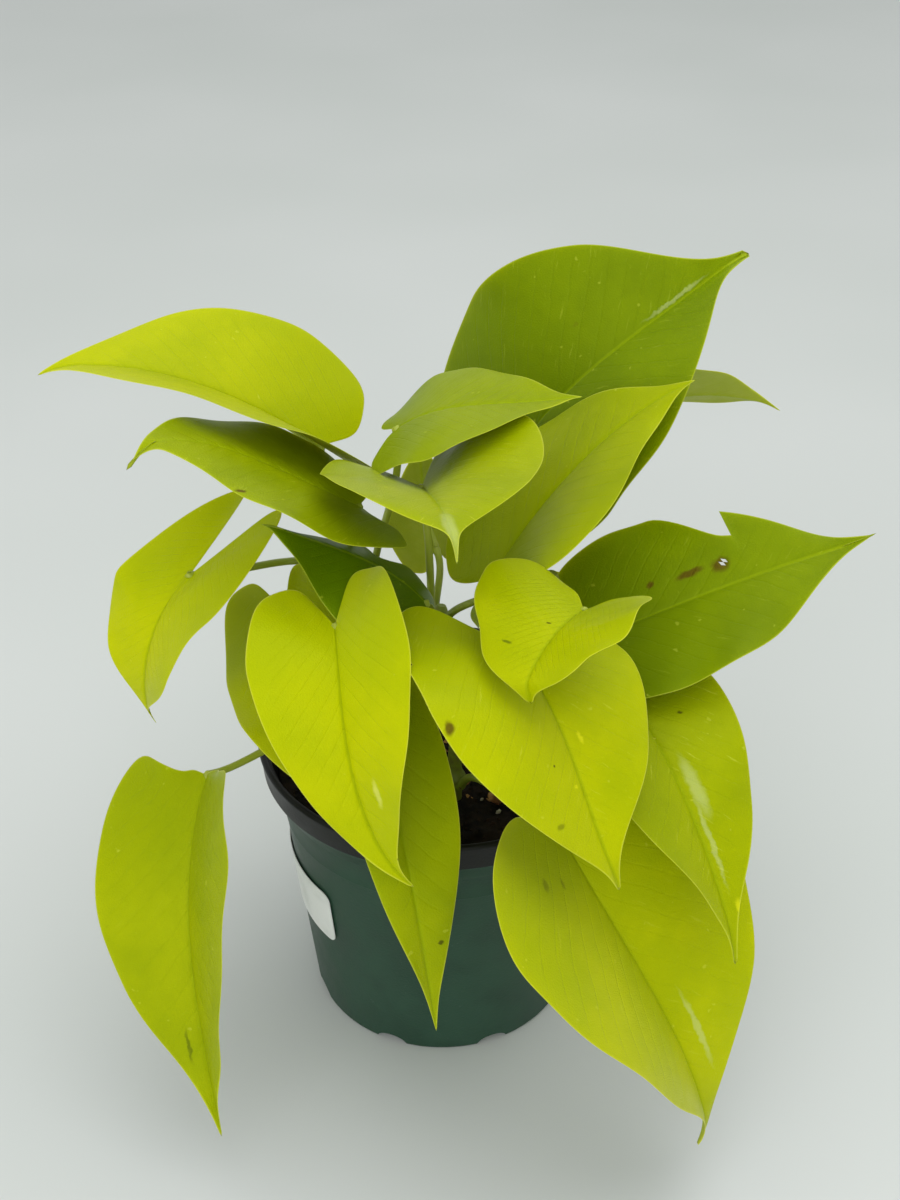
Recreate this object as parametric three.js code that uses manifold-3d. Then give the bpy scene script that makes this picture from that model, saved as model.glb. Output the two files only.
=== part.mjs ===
// A golden-leaved pothos in a 4-inch nursery pot: the pot, its blank label, the
// potting mix, six rooted cuttings, their leaf stalks and their leaves.
// Millimetres, +Z up. The origin is the middle of the pot's base, on the table,
// and -Y is the side that the fullest leaves face.

import * as THREE from "three";
import { mergeVertices } from "three/addons/utils/BufferGeometryUtils.js";
import Module from "manifold-3d";

// ---- Driving dimensions -------------------------------------------------

const POT_HEIGHT = 93;
const RIM_RADIUS = 54;
const RIM_BAND_HEIGHT = 9;
const RIM_TAPER = 1.2; // how much narrower the rim band is at its foot
const RIM_LIP = 2.2; // thickness of the rolled lip
const RIM_STEP = 6; // how far the rim stands out from the wall under the shoulder
const SHOULDER_HEIGHT = 8; // the flare between the wall and the rim band
const BASE_RADIUS = 40.2;
const BASE_CHAMFER = 1.6;
const WALL = 1.2;
const POT_SEGMENTS = 64;

const DRAIN_COUNT = 8;
const DRAIN_WIDTH = 10;
const DRAIN_HEIGHT = 3.4;
const DRAIN_DEPTH = 5; // how far a drain slot reaches in from the wall
const DRAIN_SIDES = 16;

const HEADSPACE = 10; // from the lip down to the potting mix
const SOIL_DOME = 2; // how much higher the mix lies around the cuttings
const SOIL_GRAIN = 0.8; // height of the lumps on the mix
const CLEARANCE = 0.35; // gap between touching pieces

const LABEL_HEIGHT = 20;
const LABEL_ARC = 54; // degrees of the wall that the label covers
const LABEL_MIDDLE = 198; // degrees, the way the label faces
const LABEL_DROP = 20; // from the shoulder down to the label
const LABEL_THICKNESS = 0.4;
const LABEL_CORNER = 7;
const LABEL_COLUMNS = 14;
const LABEL_ROWS = 6;

const VINE_RADIUS = 2;
const VINE_PLANTED = 14; // depth that a cutting goes into the mix
const VINE_COLLAR = 4; // a cutting's next points above the mix, which keep its foot upright
const VINE_UPRIGHT = 12;
const VINE_LEAN = 0.4; // how much of its lean a cutting has halfway up
const STALK_RADIUS = 1.25;
const STALK_SLANT = 30; // degrees between a stalk and its cutting where it leaves
const STALK_HANDLE = 0.33; // length of a stalk's bend handles, as a share of its span
const LEAF_THICKNESS = 0.7;

// The layout of the foliage is drawn for a pot of these sizes, and is carried
// from them to the real pot by placeInPot.
const DRAWN_RIM_RADIUS = 54;
const DRAWN_SOIL_LEVEL = 83;
const FOLIAGE_HEIGHT = 136; // from the mix to the highest leaf tip
const FOLIAGE_REACH = 65; // from the rim out to the farthest leaf tip
const DRAWN_FOLIAGE_HEIGHT = 136;
const DRAWN_FOLIAGE_REACH = 65;

const SOIL_LEVEL = POT_HEIGHT - HEADSPACE;

// ---- Materials ----------------------------------------------------------

const COLOURS = {
  pot: 0x2d4b3e,
  label: 0xf2f2ee,
  soil: 0x1b1512,
  vine: 0x8c9a2e,
  stalk: 0xa9b838,
  leaf: 0xaebc08,
};

function finish(colour, roughness) {
  return new THREE.MeshStandardMaterial({ color: colour, roughness, metalness: 0 });
}

// ---- Solids from geometries ---------------------------------------------

const wasm = await Module();
wasm.setup();

function toSolid(geometry) {
  const bare = geometry.clone();
  bare.deleteAttribute("normal");
  bare.deleteAttribute("uv");
  const merged = mergeVertices(bare, 1e-4);
  const vertProperties = new Float32Array(merged.attributes.position.array);
  const triVerts = new Uint32Array(merged.index.array);
  return new wasm.Manifold(new wasm.Mesh({ numProp: 3, vertProperties, triVerts }));
}

function toGeometry(solid) {
  const mesh = solid.getMesh();
  const geometry = new THREE.BufferGeometry();
  geometry.setAttribute("position", new THREE.BufferAttribute(mesh.vertProperties, 3));
  geometry.setIndex(new THREE.BufferAttribute(mesh.triVerts, 1));
  return geometry;
}

function cut(geometry, tools) {
  let solid = toSolid(geometry);
  for (const tool of tools) {
    solid = solid.subtract(toSolid(tool));
  }
  return toGeometry(solid);
}

// A lathe about Z from [radius, height] pairs that run up the outside.
function turned(profile, segments) {
  const points = profile.map(([radius, height]) => new THREE.Vector2(radius, height));
  const geometry = new THREE.LatheGeometry(points, segments);
  geometry.rotateX(Math.PI / 2);
  return geometry;
}

// ---- Pot ----------------------------------------------------------------

const BAND_FOOT = POT_HEIGHT - RIM_BAND_HEIGHT;
const BAND_FOOT_RADIUS = RIM_RADIUS - RIM_TAPER;
const WALL_TOP = BAND_FOOT - SHOULDER_HEIGHT;
const WALL_TOP_RADIUS = RIM_RADIUS - RIM_STEP;

// The outer radius of the tapered wall and of the shoulder above it.
function wallRadius(height) {
  if (height > WALL_TOP) {
    const share = (height - WALL_TOP) / SHOULDER_HEIGHT;
    return THREE.MathUtils.lerp(WALL_TOP_RADIUS, BAND_FOOT_RADIUS, share);
  }
  const share = (height - BASE_CHAMFER) / (WALL_TOP - BASE_CHAMFER);
  return THREE.MathUtils.lerp(BASE_RADIUS, WALL_TOP_RADIUS, share);
}

function drainSlot(index) {
  const slot = new THREE.CylinderGeometry(DRAIN_WIDTH / 2, DRAIN_WIDTH / 2, DRAIN_DEPTH * 2, DRAIN_SIDES);
  slot.rotateZ(Math.PI / 2);
  slot.scale(1, 1, DRAIN_HEIGHT / (DRAIN_WIDTH / 2));
  slot.translate(BASE_RADIUS, 0, 0);
  slot.rotateZ(((index + 0.5) / DRAIN_COUNT) * Math.PI * 2);
  return slot;
}

function potGeometry() {
  const lipInner = RIM_RADIUS - RIM_LIP;
  const profile = [
    [0, 0],
    [BASE_RADIUS - BASE_CHAMFER, 0],
    [BASE_RADIUS, BASE_CHAMFER],
    [WALL_TOP_RADIUS, WALL_TOP],
    [BAND_FOOT_RADIUS, BAND_FOOT],
    [RIM_RADIUS, POT_HEIGHT - RIM_LIP / 2],
    [RIM_RADIUS - RIM_LIP / 3, POT_HEIGHT],
    [lipInner + RIM_LIP / 3, POT_HEIGHT],
    [lipInner, POT_HEIGHT - RIM_LIP / 2],
    [BAND_FOOT_RADIUS - WALL, BAND_FOOT + WALL / 2],
    [WALL_TOP_RADIUS - WALL, WALL_TOP],
    [BASE_RADIUS - WALL, BASE_CHAMFER + WALL],
    [BASE_RADIUS - WALL - BASE_CHAMFER, WALL],
    [0, WALL],
  ];
  const drains = Array.from({ length: DRAIN_COUNT }, (_, index) => drainSlot(index));
  return cut(turned(profile, POT_SEGMENTS), drains);
}

// ---- Potting mix --------------------------------------------------------

const SOIL_EDGE = SOIL_LEVEL - SOIL_DOME;
const SOIL_RINGS = 5;
const SOCKET_SIDES = 12;

// The mix's bumpy top, highest in the middle of the pot.
function soilHeight(x, y) {
  const edge = wallRadius(SOIL_EDGE);
  const dome = SOIL_DOME * (1 - (x * x + y * y) / (edge * edge));
  const lumps = Math.sin(x * 0.31 + 1) * Math.cos(y * 0.27) + 0.5 * Math.sin(x * 0.13 - y * 0.42);
  return SOIL_EDGE + dome + SOIL_GRAIN * lumps;
}

function soilGeometry(roots) {
  const bottom = WALL + CLEARANCE;
  const inside = (height) => wallRadius(height) - WALL - CLEARANCE;
  const lowestEdge = SOIL_EDGE - 1.5 * SOIL_GRAIN;
  const waist = Math.min(WALL_TOP, lowestEdge - 1);
  const profile = [
    [0, bottom],
    [BASE_RADIUS - WALL - BASE_CHAMFER - CLEARANCE, bottom],
    [inside(BASE_CHAMFER + WALL), BASE_CHAMFER + WALL + CLEARANCE],
    [inside(waist), waist],
  ];
  for (let ring = SOIL_RINGS; ring >= 0; ring -= 1) {
    profile.push([(inside(lowestEdge) * ring) / SOIL_RINGS, SOIL_LEVEL]);
  }
  const mix = turned(profile, POT_SEGMENTS / 2);
  const position = mix.attributes.position;
  for (let i = 0; i < position.count; i += 1) {
    if (position.getZ(i) === Math.fround(SOIL_LEVEL)) {
      position.setZ(i, soilHeight(position.getX(i), position.getY(i)));
    }
  }
  const sockets = roots.map(({ x, y }) => {
    const length = 2 * VINE_PLANTED;
    const radius = VINE_RADIUS + CLEARANCE;
    const socket = new THREE.CylinderGeometry(radius, radius, length, SOCKET_SIDES);
    socket.rotateX(Math.PI / 2);
    socket.translate(x, y, SOIL_LEVEL - VINE_PLANTED - CLEARANCE + length / 2);
    return socket;
  });
  return cut(mix, sockets);
}

// ---- Label --------------------------------------------------------------

// A blank rounded label, bent round the cone of the pot's wall.
function labelGeometry() {
  const middleHeight = WALL_TOP - LABEL_DROP - LABEL_HEIGHT / 2;
  const middleRadius = wallRadius(middleHeight);
  const halfWidth = (THREE.MathUtils.degToRad(LABEL_ARC) * middleRadius) / 2;
  const halfHeight = LABEL_HEIGHT / 2;
  const columns = LABEL_COLUMNS;
  const rows = LABEL_ROWS;
  const positions = [];
  const index = [];
  const sheet = (offset) => {
    for (let column = 0; column <= columns; column += 1) {
      const across = -Math.cos((column / columns) * Math.PI) * halfWidth;
      const inCorner = Math.max(0, Math.abs(across) - (halfWidth - LABEL_CORNER));
      const cornerDrop = LABEL_CORNER - Math.sqrt(LABEL_CORNER ** 2 - inCorner ** 2);
      const reach = halfHeight - cornerDrop;
      for (let row = 0; row <= rows; row += 1) {
        const height = middleHeight + reach * ((2 * row) / rows - 1);
        const angle = THREE.MathUtils.degToRad(LABEL_MIDDLE) + across / middleRadius;
        const radius = wallRadius(height) + CLEARANCE + offset;
        positions.push(radius * Math.cos(angle), radius * Math.sin(angle), height);
      }
    }
  };
  sheet(0);
  sheet(LABEL_THICKNESS);
  const stride = rows + 1;
  const sheetSize = stride * (columns + 1);
  const quad = (a, b, c, d) => index.push(a, b, c, a, c, d);
  for (let column = 0; column < columns; column += 1) {
    const near = column * stride;
    const far = near + stride;
    for (let row = 0; row < rows; row += 1) {
      const [a, b, c, d] = [near + row, near + row + 1, far + row + 1, far + row];
      quad(a, b, c, d);
      quad(sheetSize + a, sheetSize + d, sheetSize + c, sheetSize + b);
    }
    quad(near, far, sheetSize + far, sheetSize + near);
    quad(near + rows, sheetSize + near + rows, sheetSize + far + rows, far + rows);
  }
  for (let row = 0; row < rows; row += 1) {
    const last = columns * stride + row;
    quad(row, sheetSize + row, sheetSize + row + 1, row + 1);
    quad(last, last + 1, sheetSize + last + 1, sheetSize + last);
  }
  const geometry = new THREE.BufferGeometry();
  geometry.setAttribute("position", new THREE.Float32BufferAttribute(positions, 3));
  geometry.setIndex(index);
  return geometry;
}

// ---- Foliage layout -----------------------------------------------------

// Carries a point of the drawn layout to the real pot. Inside the rim it moves
// with the rim's radius, and outside with the reach past the rim. Above the mix
// it moves with the foliage's height, and below with the mix's own height.
function placeInPot([x, y, z]) {
  const drawnRadius = Math.hypot(x, y);
  const inside = Math.min(drawnRadius, DRAWN_RIM_RADIUS) * (RIM_RADIUS / DRAWN_RIM_RADIUS);
  const outside = Math.max(drawnRadius - DRAWN_RIM_RADIUS, 0) * (FOLIAGE_REACH / DRAWN_FOLIAGE_REACH);
  const spread = drawnRadius > 0 ? (inside + outside) / drawnRadius : 1;
  const above = Math.max(z - DRAWN_SOIL_LEVEL, 0) * (FOLIAGE_HEIGHT / DRAWN_FOLIAGE_HEIGHT);
  const below = Math.min(z, DRAWN_SOIL_LEVEL) * (SOIL_LEVEL / DRAWN_SOIL_LEVEL);
  return new THREE.Vector3(x * spread, y * spread, above + below);
}

// Each cutting stands where it is rooted and leans to its top, both drawn as
// [x, y] and [x, y, z].
const VINES = {
  left: { root: [-24, 2], top: [-31, -2, 114] },
  back_left: { root: [-18, 28], top: [-24, 36, 124] },
  centre: { root: [-3, 10], top: [0, 15, 126] },
  back_right: { root: [14, 24], top: [22, 44, 140] },
  right: { root: [24, -8], top: [30, -12, 154] },
  front: { root: [4, -20], top: [5, -25, 134] },
};

// Each leaf hangs on one cutting. `at` is how far up the cutting its stalk
// starts. `base` is where the stalk meets the blade and `tip` is the blade's
// point. Angles are degrees: `roll` turns the blade about its length, `rise` is
// how steeply it leaves the stalk, `droop` how steeply it ends, `sweep` bends it
// to its left, `twist` turns the tip against the base, `fold` lifts both halves
// from the midrib at the base and at the tip, and `curl` turns the margins down.
// `halves` is how wide the left and the right half are, and `lobes` is how far
// their lobes reach back, as a share of the length.
const LEAVES = {
  top_left: {
    vine: "back_left", at: 0.8, base: [-34, 27, 172], tip: [-109, 18, 200], halves: [32, 33],
    roll: -4, rise: 20, droop: 28, sweep: 0, twist: 0, fold: [30, 10], curl: 0, lobes: [0.25, 0.12],
  },
  upper_left: {
    vine: "back_left", at: 0.7, base: [-22, -2, 169], tip: [-77, -24, 198], halves: [31, 31],
    roll: 0, rise: 8, droop: 24, sweep: 30, twist: -5, fold: [8, -8], curl: 8, lobes: [0.1, 0.1],
  },
  left: {
    vine: "back_left", at: 0.95, base: [-68, -10, 152], tip: [-80, -20, 109], halves: [20, 19],
    roll: -4, rise: 45, droop: 40, sweep: 0, twist: 0, fold: [12, 15], curl: 6, lobes: [0.65, 0.65],
  },
  centre_shaded: {
    vine: "centre", at: 0.6, base: [-4, -16, 147], tip: [-47, -12, 170], halves: [26, 18],
    roll: 0, rise: 25, droop: 5, sweep: 0, twist: 5, fold: [-10, -20], curl: 14, lobes: [0.12, 0.12],
  },
  front_left: {
    vine: "front", at: 0.95, base: [-27, -38, 154], tip: [-7, -76, 99], halves: [24, 25],
    roll: 30, rise: 45, droop: 15, sweep: 28, twist: 20, fold: [28, 18], curl: 10, lobes: [0.2, 0.2],
  },
  behind_front_left: {
    vine: "left", at: 0.9, base: [-44, 0, 134], tip: [-22, -60, 102], halves: [18, 22],
    roll: 25, rise: 10, droop: 25, sweep: 0, twist: -10, fold: [0, 15], curl: 18, lobes: [0.22, 0.22],
  },
  low_left: {
    vine: "left", at: 0.4, base: [-65, -30, 99], tip: [-61, -86, 16], halves: [28, 28],
    roll: 45, rise: 25, droop: 10, sweep: 0, twist: -15, fold: [28, 30], curl: 10, lobes: [0.02, 0.02],
  },
  front_hanging: {
    vine: "front", at: 0.7, base: [-20, -42, 135], tip: [-1, -78, 49], halves: [17, 12],
    roll: 8, rise: 30, droop: 12, sweep: 0, twist: 0, fold: [0, 12], curl: 10, lobes: [0.08, 0.08],
  },
  front_right: {
    vine: "right", at: 0.8, base: [15, -38, 150], tip: [46, -80, 102], halves: [29, 34],
    roll: -10, rise: 35, droop: 20, sweep: 18, twist: 20, fold: [10, 20], curl: 20, lobes: [0.14, 0.3],
  },
  young: {
    vine: "right", at: 0.97, base: [36, -44, 163], tip: [20, -66, 153], halves: [24, 27],
    roll: 10, rise: 28, droop: 15, sweep: 10, twist: 0, fold: [22, 8], curl: 0, lobes: [0.2, 0.2],
  },
  right_drooping: {
    vine: "right", at: 0.6, base: [47, -17, 122], tip: [79, -75, 71], halves: [24, 24],
    roll: 5, rise: 40, droop: 26, sweep: 0, twist: -15, fold: [12, 25], curl: 12, lobes: [0.2, 0.1],
  },
  low_right: {
    vine: "front", at: 0.35, base: [31, -56, 102], tip: [74, -88, 15], halves: [45, 45],
    roll: 8, rise: 5, droop: 25, sweep: 0, twist: -20, fold: [24, 26], curl: 8, lobes: [0.12, 0.12],
  },
  right: {
    vine: "right", at: 0.85, base: [44, -6, 129], tip: [119, 0, 158], halves: [28, 28],
    roll: 22, rise: 5, droop: 8, sweep: 0, twist: 10, fold: [15, 5], curl: 5, lobes: [0.1, 0.1],
  },
  top_right: {
    vine: "back_right", at: 0.95, base: [23, 44, 162], tip: [87, 58, 219], halves: [43, 40],
    roll: 30, rise: 30, droop: 20, sweep: 10, twist: 5, fold: [5, 30], curl: 6, lobes: [0.3, 0.2],
  },
  upper_right: {
    vine: "centre", at: 0.95, base: [14, -2, 146], tip: [68, 14, 199], halves: [33, 33],
    roll: -8, rise: 15, droop: 10, sweep: -20, twist: 15, fold: [22, 0], curl: 16, lobes: [0.12, 0.12],
  },
  far_right: {
    vine: "back_right", at: 0.85, base: [50, 44, 172], tip: [102, 60, 168], halves: [20, 20],
    roll: -42, rise: 25, droop: 20, sweep: 0, twist: 0, fold: [15, 5], curl: 5, lobes: [0.2, 0.2],
  },
  upper_centre: {
    vine: "back_left", at: 0.9, base: [-12, 10, 186], tip: [37, 2, 200], halves: [22, 22],
    roll: 5, rise: 25, droop: 0, sweep: 5, twist: 0, fold: [0, 12], curl: 10, lobes: [0.15, 0.15],
  },
  pale_forward: {
    vine: "centre", at: 0.85, base: [-5, -6, 177], tip: [5, -56, 186], halves: [33, 28],
    roll: 10, rise: 10, droop: 40, sweep: 0, twist: -20, fold: [35, 0], curl: 12, lobes: [0.32, 0.2],
  },
  centre_back: {
    vine: "centre", at: 0.9, base: [-2, 28, 138], tip: [-6, 34, 170], halves: [13, 13],
    roll: 180, rise: 20, droop: 15, sweep: 0, twist: 0, fold: [15, 5], curl: 8, lobes: [0.2, 0.2],
  },
  right_hidden: {
    vine: "back_right", at: 0.7, base: [38, 13, 127], tip: [6, 14, 127], halves: [13, 13],
    roll: 0, rise: 20, droop: 15, sweep: 0, twist: 0, fold: [15, 5], curl: 8, lobes: [0.2, 0.2],
  },
};

// ---- Leaves -------------------------------------------------------------

// Half of a heart-shaped outline, as [along, across]: along runs from the stalk
// at 0 to the point at 1 and is negative in the lobe, and across is a share of
// the half width.
const HALF_OUTLINE = new THREE.SplineCurve([
  new THREE.Vector2(0, 0),
  new THREE.Vector2(-0.6, 0.19),
  new THREE.Vector2(-1, 0.42),
  new THREE.Vector2(-0.62, 0.74),
  new THREE.Vector2(0.05, 0.96),
  new THREE.Vector2(0.24, 1),
  new THREE.Vector2(0.42, 0.9),
  new THREE.Vector2(0.6, 0.68),
  new THREE.Vector2(0.77, 0.4),
  new THREE.Vector2(0.9, 0.15),
  new THREE.Vector2(1, 0),
]);

const LEAF_ROWS = 12;
const LEAF_HALF_COLUMNS = 3;
const MIDRIB_PACE = 1.25; // bunches the side veins' roots towards the stalk
const MIDRIB_HANDLE = 0.36; // length of the midrib's bend handles, as a share of the leaf

const radians = THREE.MathUtils.degToRad;

function ofSide([left, right], across) {
  return across > 0 ? left : right;
}

// The blade's midrib as a curve, with its upward direction at the base.
function midrib(leaf) {
  const base = placeInPot(leaf.base);
  const tip = placeInPot(leaf.tip);
  const along = tip.clone().sub(base);
  const length = along.length();
  along.normalize();
  const up = new THREE.Vector3(0, 0, 1);
  up.addScaledVector(along, -along.z).normalize();
  up.applyAxisAngle(along, radians(leaf.roll));
  const left = new THREE.Vector3().crossVectors(up, along);
  const start = along.clone().multiplyScalar(Math.cos(radians(leaf.rise)));
  start.addScaledVector(up, Math.sin(radians(leaf.rise)));
  const end = along.clone().multiplyScalar(Math.cos(radians(leaf.droop)));
  end.addScaledVector(up, -Math.sin(radians(leaf.droop)));
  end.multiplyScalar(Math.cos(radians(leaf.sweep)));
  end.addScaledVector(left, Math.sin(radians(leaf.sweep)));
  const handle = length * MIDRIB_HANDLE;
  const curve = new THREE.CubicBezierCurve3(
    base,
    base.clone().addScaledVector(start, handle),
    tip.clone().addScaledVector(end, -handle),
    tip,
  );
  return { curve, up, length, start };
}

// A point of the blade: along 0 to 1 and behind the stalk below 0, across -1 on
// the right margin's line to 1 on the left's, and lift above the middle sheet.
function bladePoint(leaf, spine, along, across, lift) {
  const share = THREE.MathUtils.clamp(along, 0, 1);
  const point = spine.curve.getPoint(share);
  const tangent = spine.curve.getTangent(share);
  point.addScaledVector(spine.start, Math.min(along, 0) * spine.length);
  const normal = spine.up.clone();
  normal.addScaledVector(tangent, -normal.dot(tangent)).normalize();
  normal.applyAxisAngle(tangent, radians(leaf.twist) * share);
  const side = new THREE.Vector3().crossVectors(normal, tangent);
  side.multiplyScalar(Math.sign(across));
  const fold = THREE.MathUtils.lerp(leaf.fold[0], leaf.fold[1], share);
  const slope = radians(fold - (leaf.curl * Math.abs(across)) / 2);
  const reach = ofSide(leaf.halves, across) * Math.abs(across);
  point.addScaledVector(side, reach * Math.cos(slope));
  point.addScaledVector(normal, reach * Math.sin(slope) + lift);
  return point;
}

// A leaf is a thin closed lens: an upper and a lower sheet that share their
// margin. The rows follow the side veins from the midrib to the margin, and the
// first and last rows shrink to the stalk and the point.
function leafGeometry(leaf) {
  const spine = midrib(leaf);
  const positions = [];
  const index = [];
  const found = new Map();
  const columns = LEAF_HALF_COLUMNS;

  const vertex = (row, column, side) => {
    const pole = row === 0 || row === LEAF_ROWS;
    const onMargin = Math.abs(column) === columns;
    const key = pole ? `${row}` : `${row} ${column} ${onMargin ? 0 : side}`;
    if (found.has(key)) {
      return found.get(key);
    }
    const share = row / LEAF_ROWS;
    const rim = HALF_OUTLINE.getPoint(share);
    const rimAlong = rim.x < 0 ? rim.x * ofSide(leaf.lobes, column) : rim.x;
    const midAlong = share ** MIDRIB_PACE;
    const out = pole ? 0 : Math.abs(column) / columns;
    const along = THREE.MathUtils.lerp(midAlong, rimAlong, out);
    const across = Math.sign(column) * out * rim.y;
    const body = pole ? 0 : Math.sqrt(1 - out) * Math.sqrt(Math.sin(share * Math.PI));
    const lift = (side * LEAF_THICKNESS * body) / 2;
    const point = bladePoint(leaf, spine, along, across, lift);
    positions.push(point.x, point.y, point.z);
    found.set(key, positions.length / 3 - 1);
    return found.get(key);
  };

  const triangle = (side, a, b, c) => {
    if (a === b || b === c || a === c) {
      return;
    }
    index.push(...(side > 0 ? [a, b, c] : [a, c, b]));
  };

  for (const side of [1, -1]) {
    for (let row = 0; row < LEAF_ROWS; row += 1) {
      for (let column = -columns; column < columns; column += 1) {
        const nearRight = vertex(row, column, side);
        const nearLeft = vertex(row, column + 1, side);
        const farRight = vertex(row + 1, column, side);
        const farLeft = vertex(row + 1, column + 1, side);
        if (column >= 0) {
          triangle(side, nearRight, farRight, farLeft);
          triangle(side, nearRight, farLeft, nearLeft);
        } else {
          triangle(side, nearRight, farRight, nearLeft);
          triangle(side, nearLeft, farRight, farLeft);
        }
      }
    }
  }
  const geometry = new THREE.BufferGeometry();
  geometry.setAttribute("position", new THREE.Float32BufferAttribute(positions, 3));
  geometry.setIndex(index);
  return geometry;
}

// ---- Stems and stalks ---------------------------------------------------

const TUBE_STEPS = 10;
const VINE_SIDES = 8;
const STALK_SIDES = 6;

function tube(curve, radius, sides) {
  const section = new THREE.Shape();
  section.absarc(0, 0, radius, 0, Math.PI * 2);
  return new THREE.ExtrudeGeometry(section, {
    curveSegments: sides / 2,
    steps: TUBE_STEPS,
    bevelEnabled: false,
    extrudePath: curve,
  });
}

function vineCurve({ root, top }) {
  const [x, y] = root;
  const planted = placeInPot([x, y, DRAWN_SOIL_LEVEL]);
  planted.z -= VINE_PLANTED;
  const collar = placeInPot([x, y, DRAWN_SOIL_LEVEL + VINE_COLLAR]);
  const upright = placeInPot([x, y, DRAWN_SOIL_LEVEL + VINE_UPRIGHT]);
  const lean = (from, to) => THREE.MathUtils.lerp(from, to, VINE_LEAN);
  const middle = [lean(x, top[0]), lean(y, top[1]), (DRAWN_SOIL_LEVEL + VINE_UPRIGHT + top[2]) / 2];
  return new THREE.CatmullRomCurve3([planted, collar, upright, placeInPot(middle), placeInPot(top)]);
}

// A stalk leaves its cutting at a slant, climbs, and meets the blade from below.
function stalkCurve(leaf) {
  const vine = vineCurve(VINES[leaf.vine]);
  const joint = vine.getPoint(leaf.at);
  const growth = vine.getTangent(leaf.at);
  const { up } = midrib(leaf);
  const base = placeInPot(leaf.base);
  const away = base.clone().sub(joint);
  away.addScaledVector(growth, -away.dot(growth)).normalize();
  const slant = radians(STALK_SLANT);
  const leaving = away.clone().multiplyScalar(Math.sin(slant)).addScaledVector(growth, Math.cos(slant));
  const clear = VINE_RADIUS + CLEARANCE + STALK_RADIUS * Math.cos(slant);
  const start = joint.clone().addScaledVector(away, clear);
  const span = base.distanceTo(start);
  const direct = base.clone().sub(start).normalize();
  const arrival = direct.clone().add(up).normalize();
  const lean = arrival.dot(up);
  const gap = (CLEARANCE + LEAF_THICKNESS / 2 + STALK_RADIUS * Math.sqrt(1 - lean * lean)) / lean;
  const end = base.clone().addScaledVector(arrival, -gap);
  return new THREE.CubicBezierCurve3(
    start,
    start.clone().addScaledVector(leaving, span * STALK_HANDLE),
    end.clone().addScaledVector(arrival, -span * STALK_HANDLE),
    end,
  );
}

// ---- Assembly -----------------------------------------------------------

const group = new THREE.Group();

function place(name, geometry, material) {
  const mesh = new THREE.Mesh(geometry, material);
  mesh.name = name;
  group.add(mesh);
}

const roots = Object.values(VINES).map(({ root }) => placeInPot([...root, DRAWN_SOIL_LEVEL]));

place("pot", potGeometry(), finish(COLOURS.pot, 0.45));
place("soil", soilGeometry(roots), finish(COLOURS.soil, 1));
place("label", labelGeometry(), finish(COLOURS.label, 0.6));

for (const [name, vine] of Object.entries(VINES)) {
  place(`vine_${name}`, tube(vineCurve(vine), VINE_RADIUS, VINE_SIDES), finish(COLOURS.vine, 0.5));
}

for (const [name, leaf] of Object.entries(LEAVES)) {
  place(`stalk_${name}`, tube(stalkCurve(leaf), STALK_RADIUS, STALK_SIDES), finish(COLOURS.stalk, 0.45));
  place(`leaf_${name}`, leafGeometry(leaf), finish(COLOURS.leaf, 0.4));
}

export default group;
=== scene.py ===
"""A golden-leaved pothos in a 4-inch nursery pot, standing on a pale floor.

Everything is in metres, +Z up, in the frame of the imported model: each leaf, stalk,
cutting and the pot is rebuilt finely over the plain solid that holds its place.
"""

import math

import bmesh
import bpy
import numpy as np
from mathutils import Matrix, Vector, noise
from mathutils.bvhtree import BVHTree


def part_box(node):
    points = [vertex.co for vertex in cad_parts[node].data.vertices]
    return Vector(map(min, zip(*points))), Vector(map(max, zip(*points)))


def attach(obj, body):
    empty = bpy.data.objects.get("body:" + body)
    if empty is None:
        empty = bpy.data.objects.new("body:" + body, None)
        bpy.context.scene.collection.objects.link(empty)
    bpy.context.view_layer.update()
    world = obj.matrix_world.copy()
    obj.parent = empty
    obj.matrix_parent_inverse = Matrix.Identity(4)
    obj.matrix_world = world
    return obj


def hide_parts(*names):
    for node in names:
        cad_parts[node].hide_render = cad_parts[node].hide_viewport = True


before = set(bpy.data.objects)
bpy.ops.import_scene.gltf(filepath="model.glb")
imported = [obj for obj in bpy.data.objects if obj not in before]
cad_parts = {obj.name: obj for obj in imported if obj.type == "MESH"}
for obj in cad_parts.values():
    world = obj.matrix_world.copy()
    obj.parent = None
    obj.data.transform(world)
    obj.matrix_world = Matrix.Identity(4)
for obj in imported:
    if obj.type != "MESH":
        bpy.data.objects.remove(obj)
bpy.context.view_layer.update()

MM = 0.001
JOIN = 0.002 * MM  # vertices of a CAD mesh nearer than this are one

# ---- Node trees -------------------------------------------------------------


def put(tree, kind, inputs=None, **settings):
    """A new node, with its settings set and its inputs linked or given a value."""
    node = tree.nodes.new(kind)
    for name, value in settings.items():
        setattr(node, name, value)
    for key, value in (inputs or {}).items():
        if isinstance(value, bpy.types.NodeSocket):
            tree.links.new(value, node.inputs[key])
        else:
            node.inputs[key].default_value = value
    return node


def calc(tree, operation, *values):
    """The result of a Math node on the given values or sockets."""
    return put(tree, "ShaderNodeMath", dict(enumerate(values)), operation=operation).outputs[0]


def vector_calc(tree, operation, *values, scale=None):
    """The result of a Vector Math node: a number for a length or a dot product."""
    inputs = dict(enumerate(values))
    if scale is not None:
        inputs["Scale"] = scale
    outputs = put(tree, "ShaderNodeVectorMath", inputs, operation=operation).outputs
    return outputs["Value" if operation in ("LENGTH", "DOT_PRODUCT") else "Vector"]


def ragged(tree, colours, size):
    """Noise colours as pushes in any direction, of about the given size."""
    centred = vector_calc(tree, "SUBTRACT", colours, (0.5, 0.5, 0.5))
    return vector_calc(tree, "SCALE", centred, scale=size)


def parts(tree, vector):
    """A vector's X, Y and Z outputs."""
    return put(tree, "ShaderNodeSeparateXYZ", {0: vector}).outputs


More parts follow.
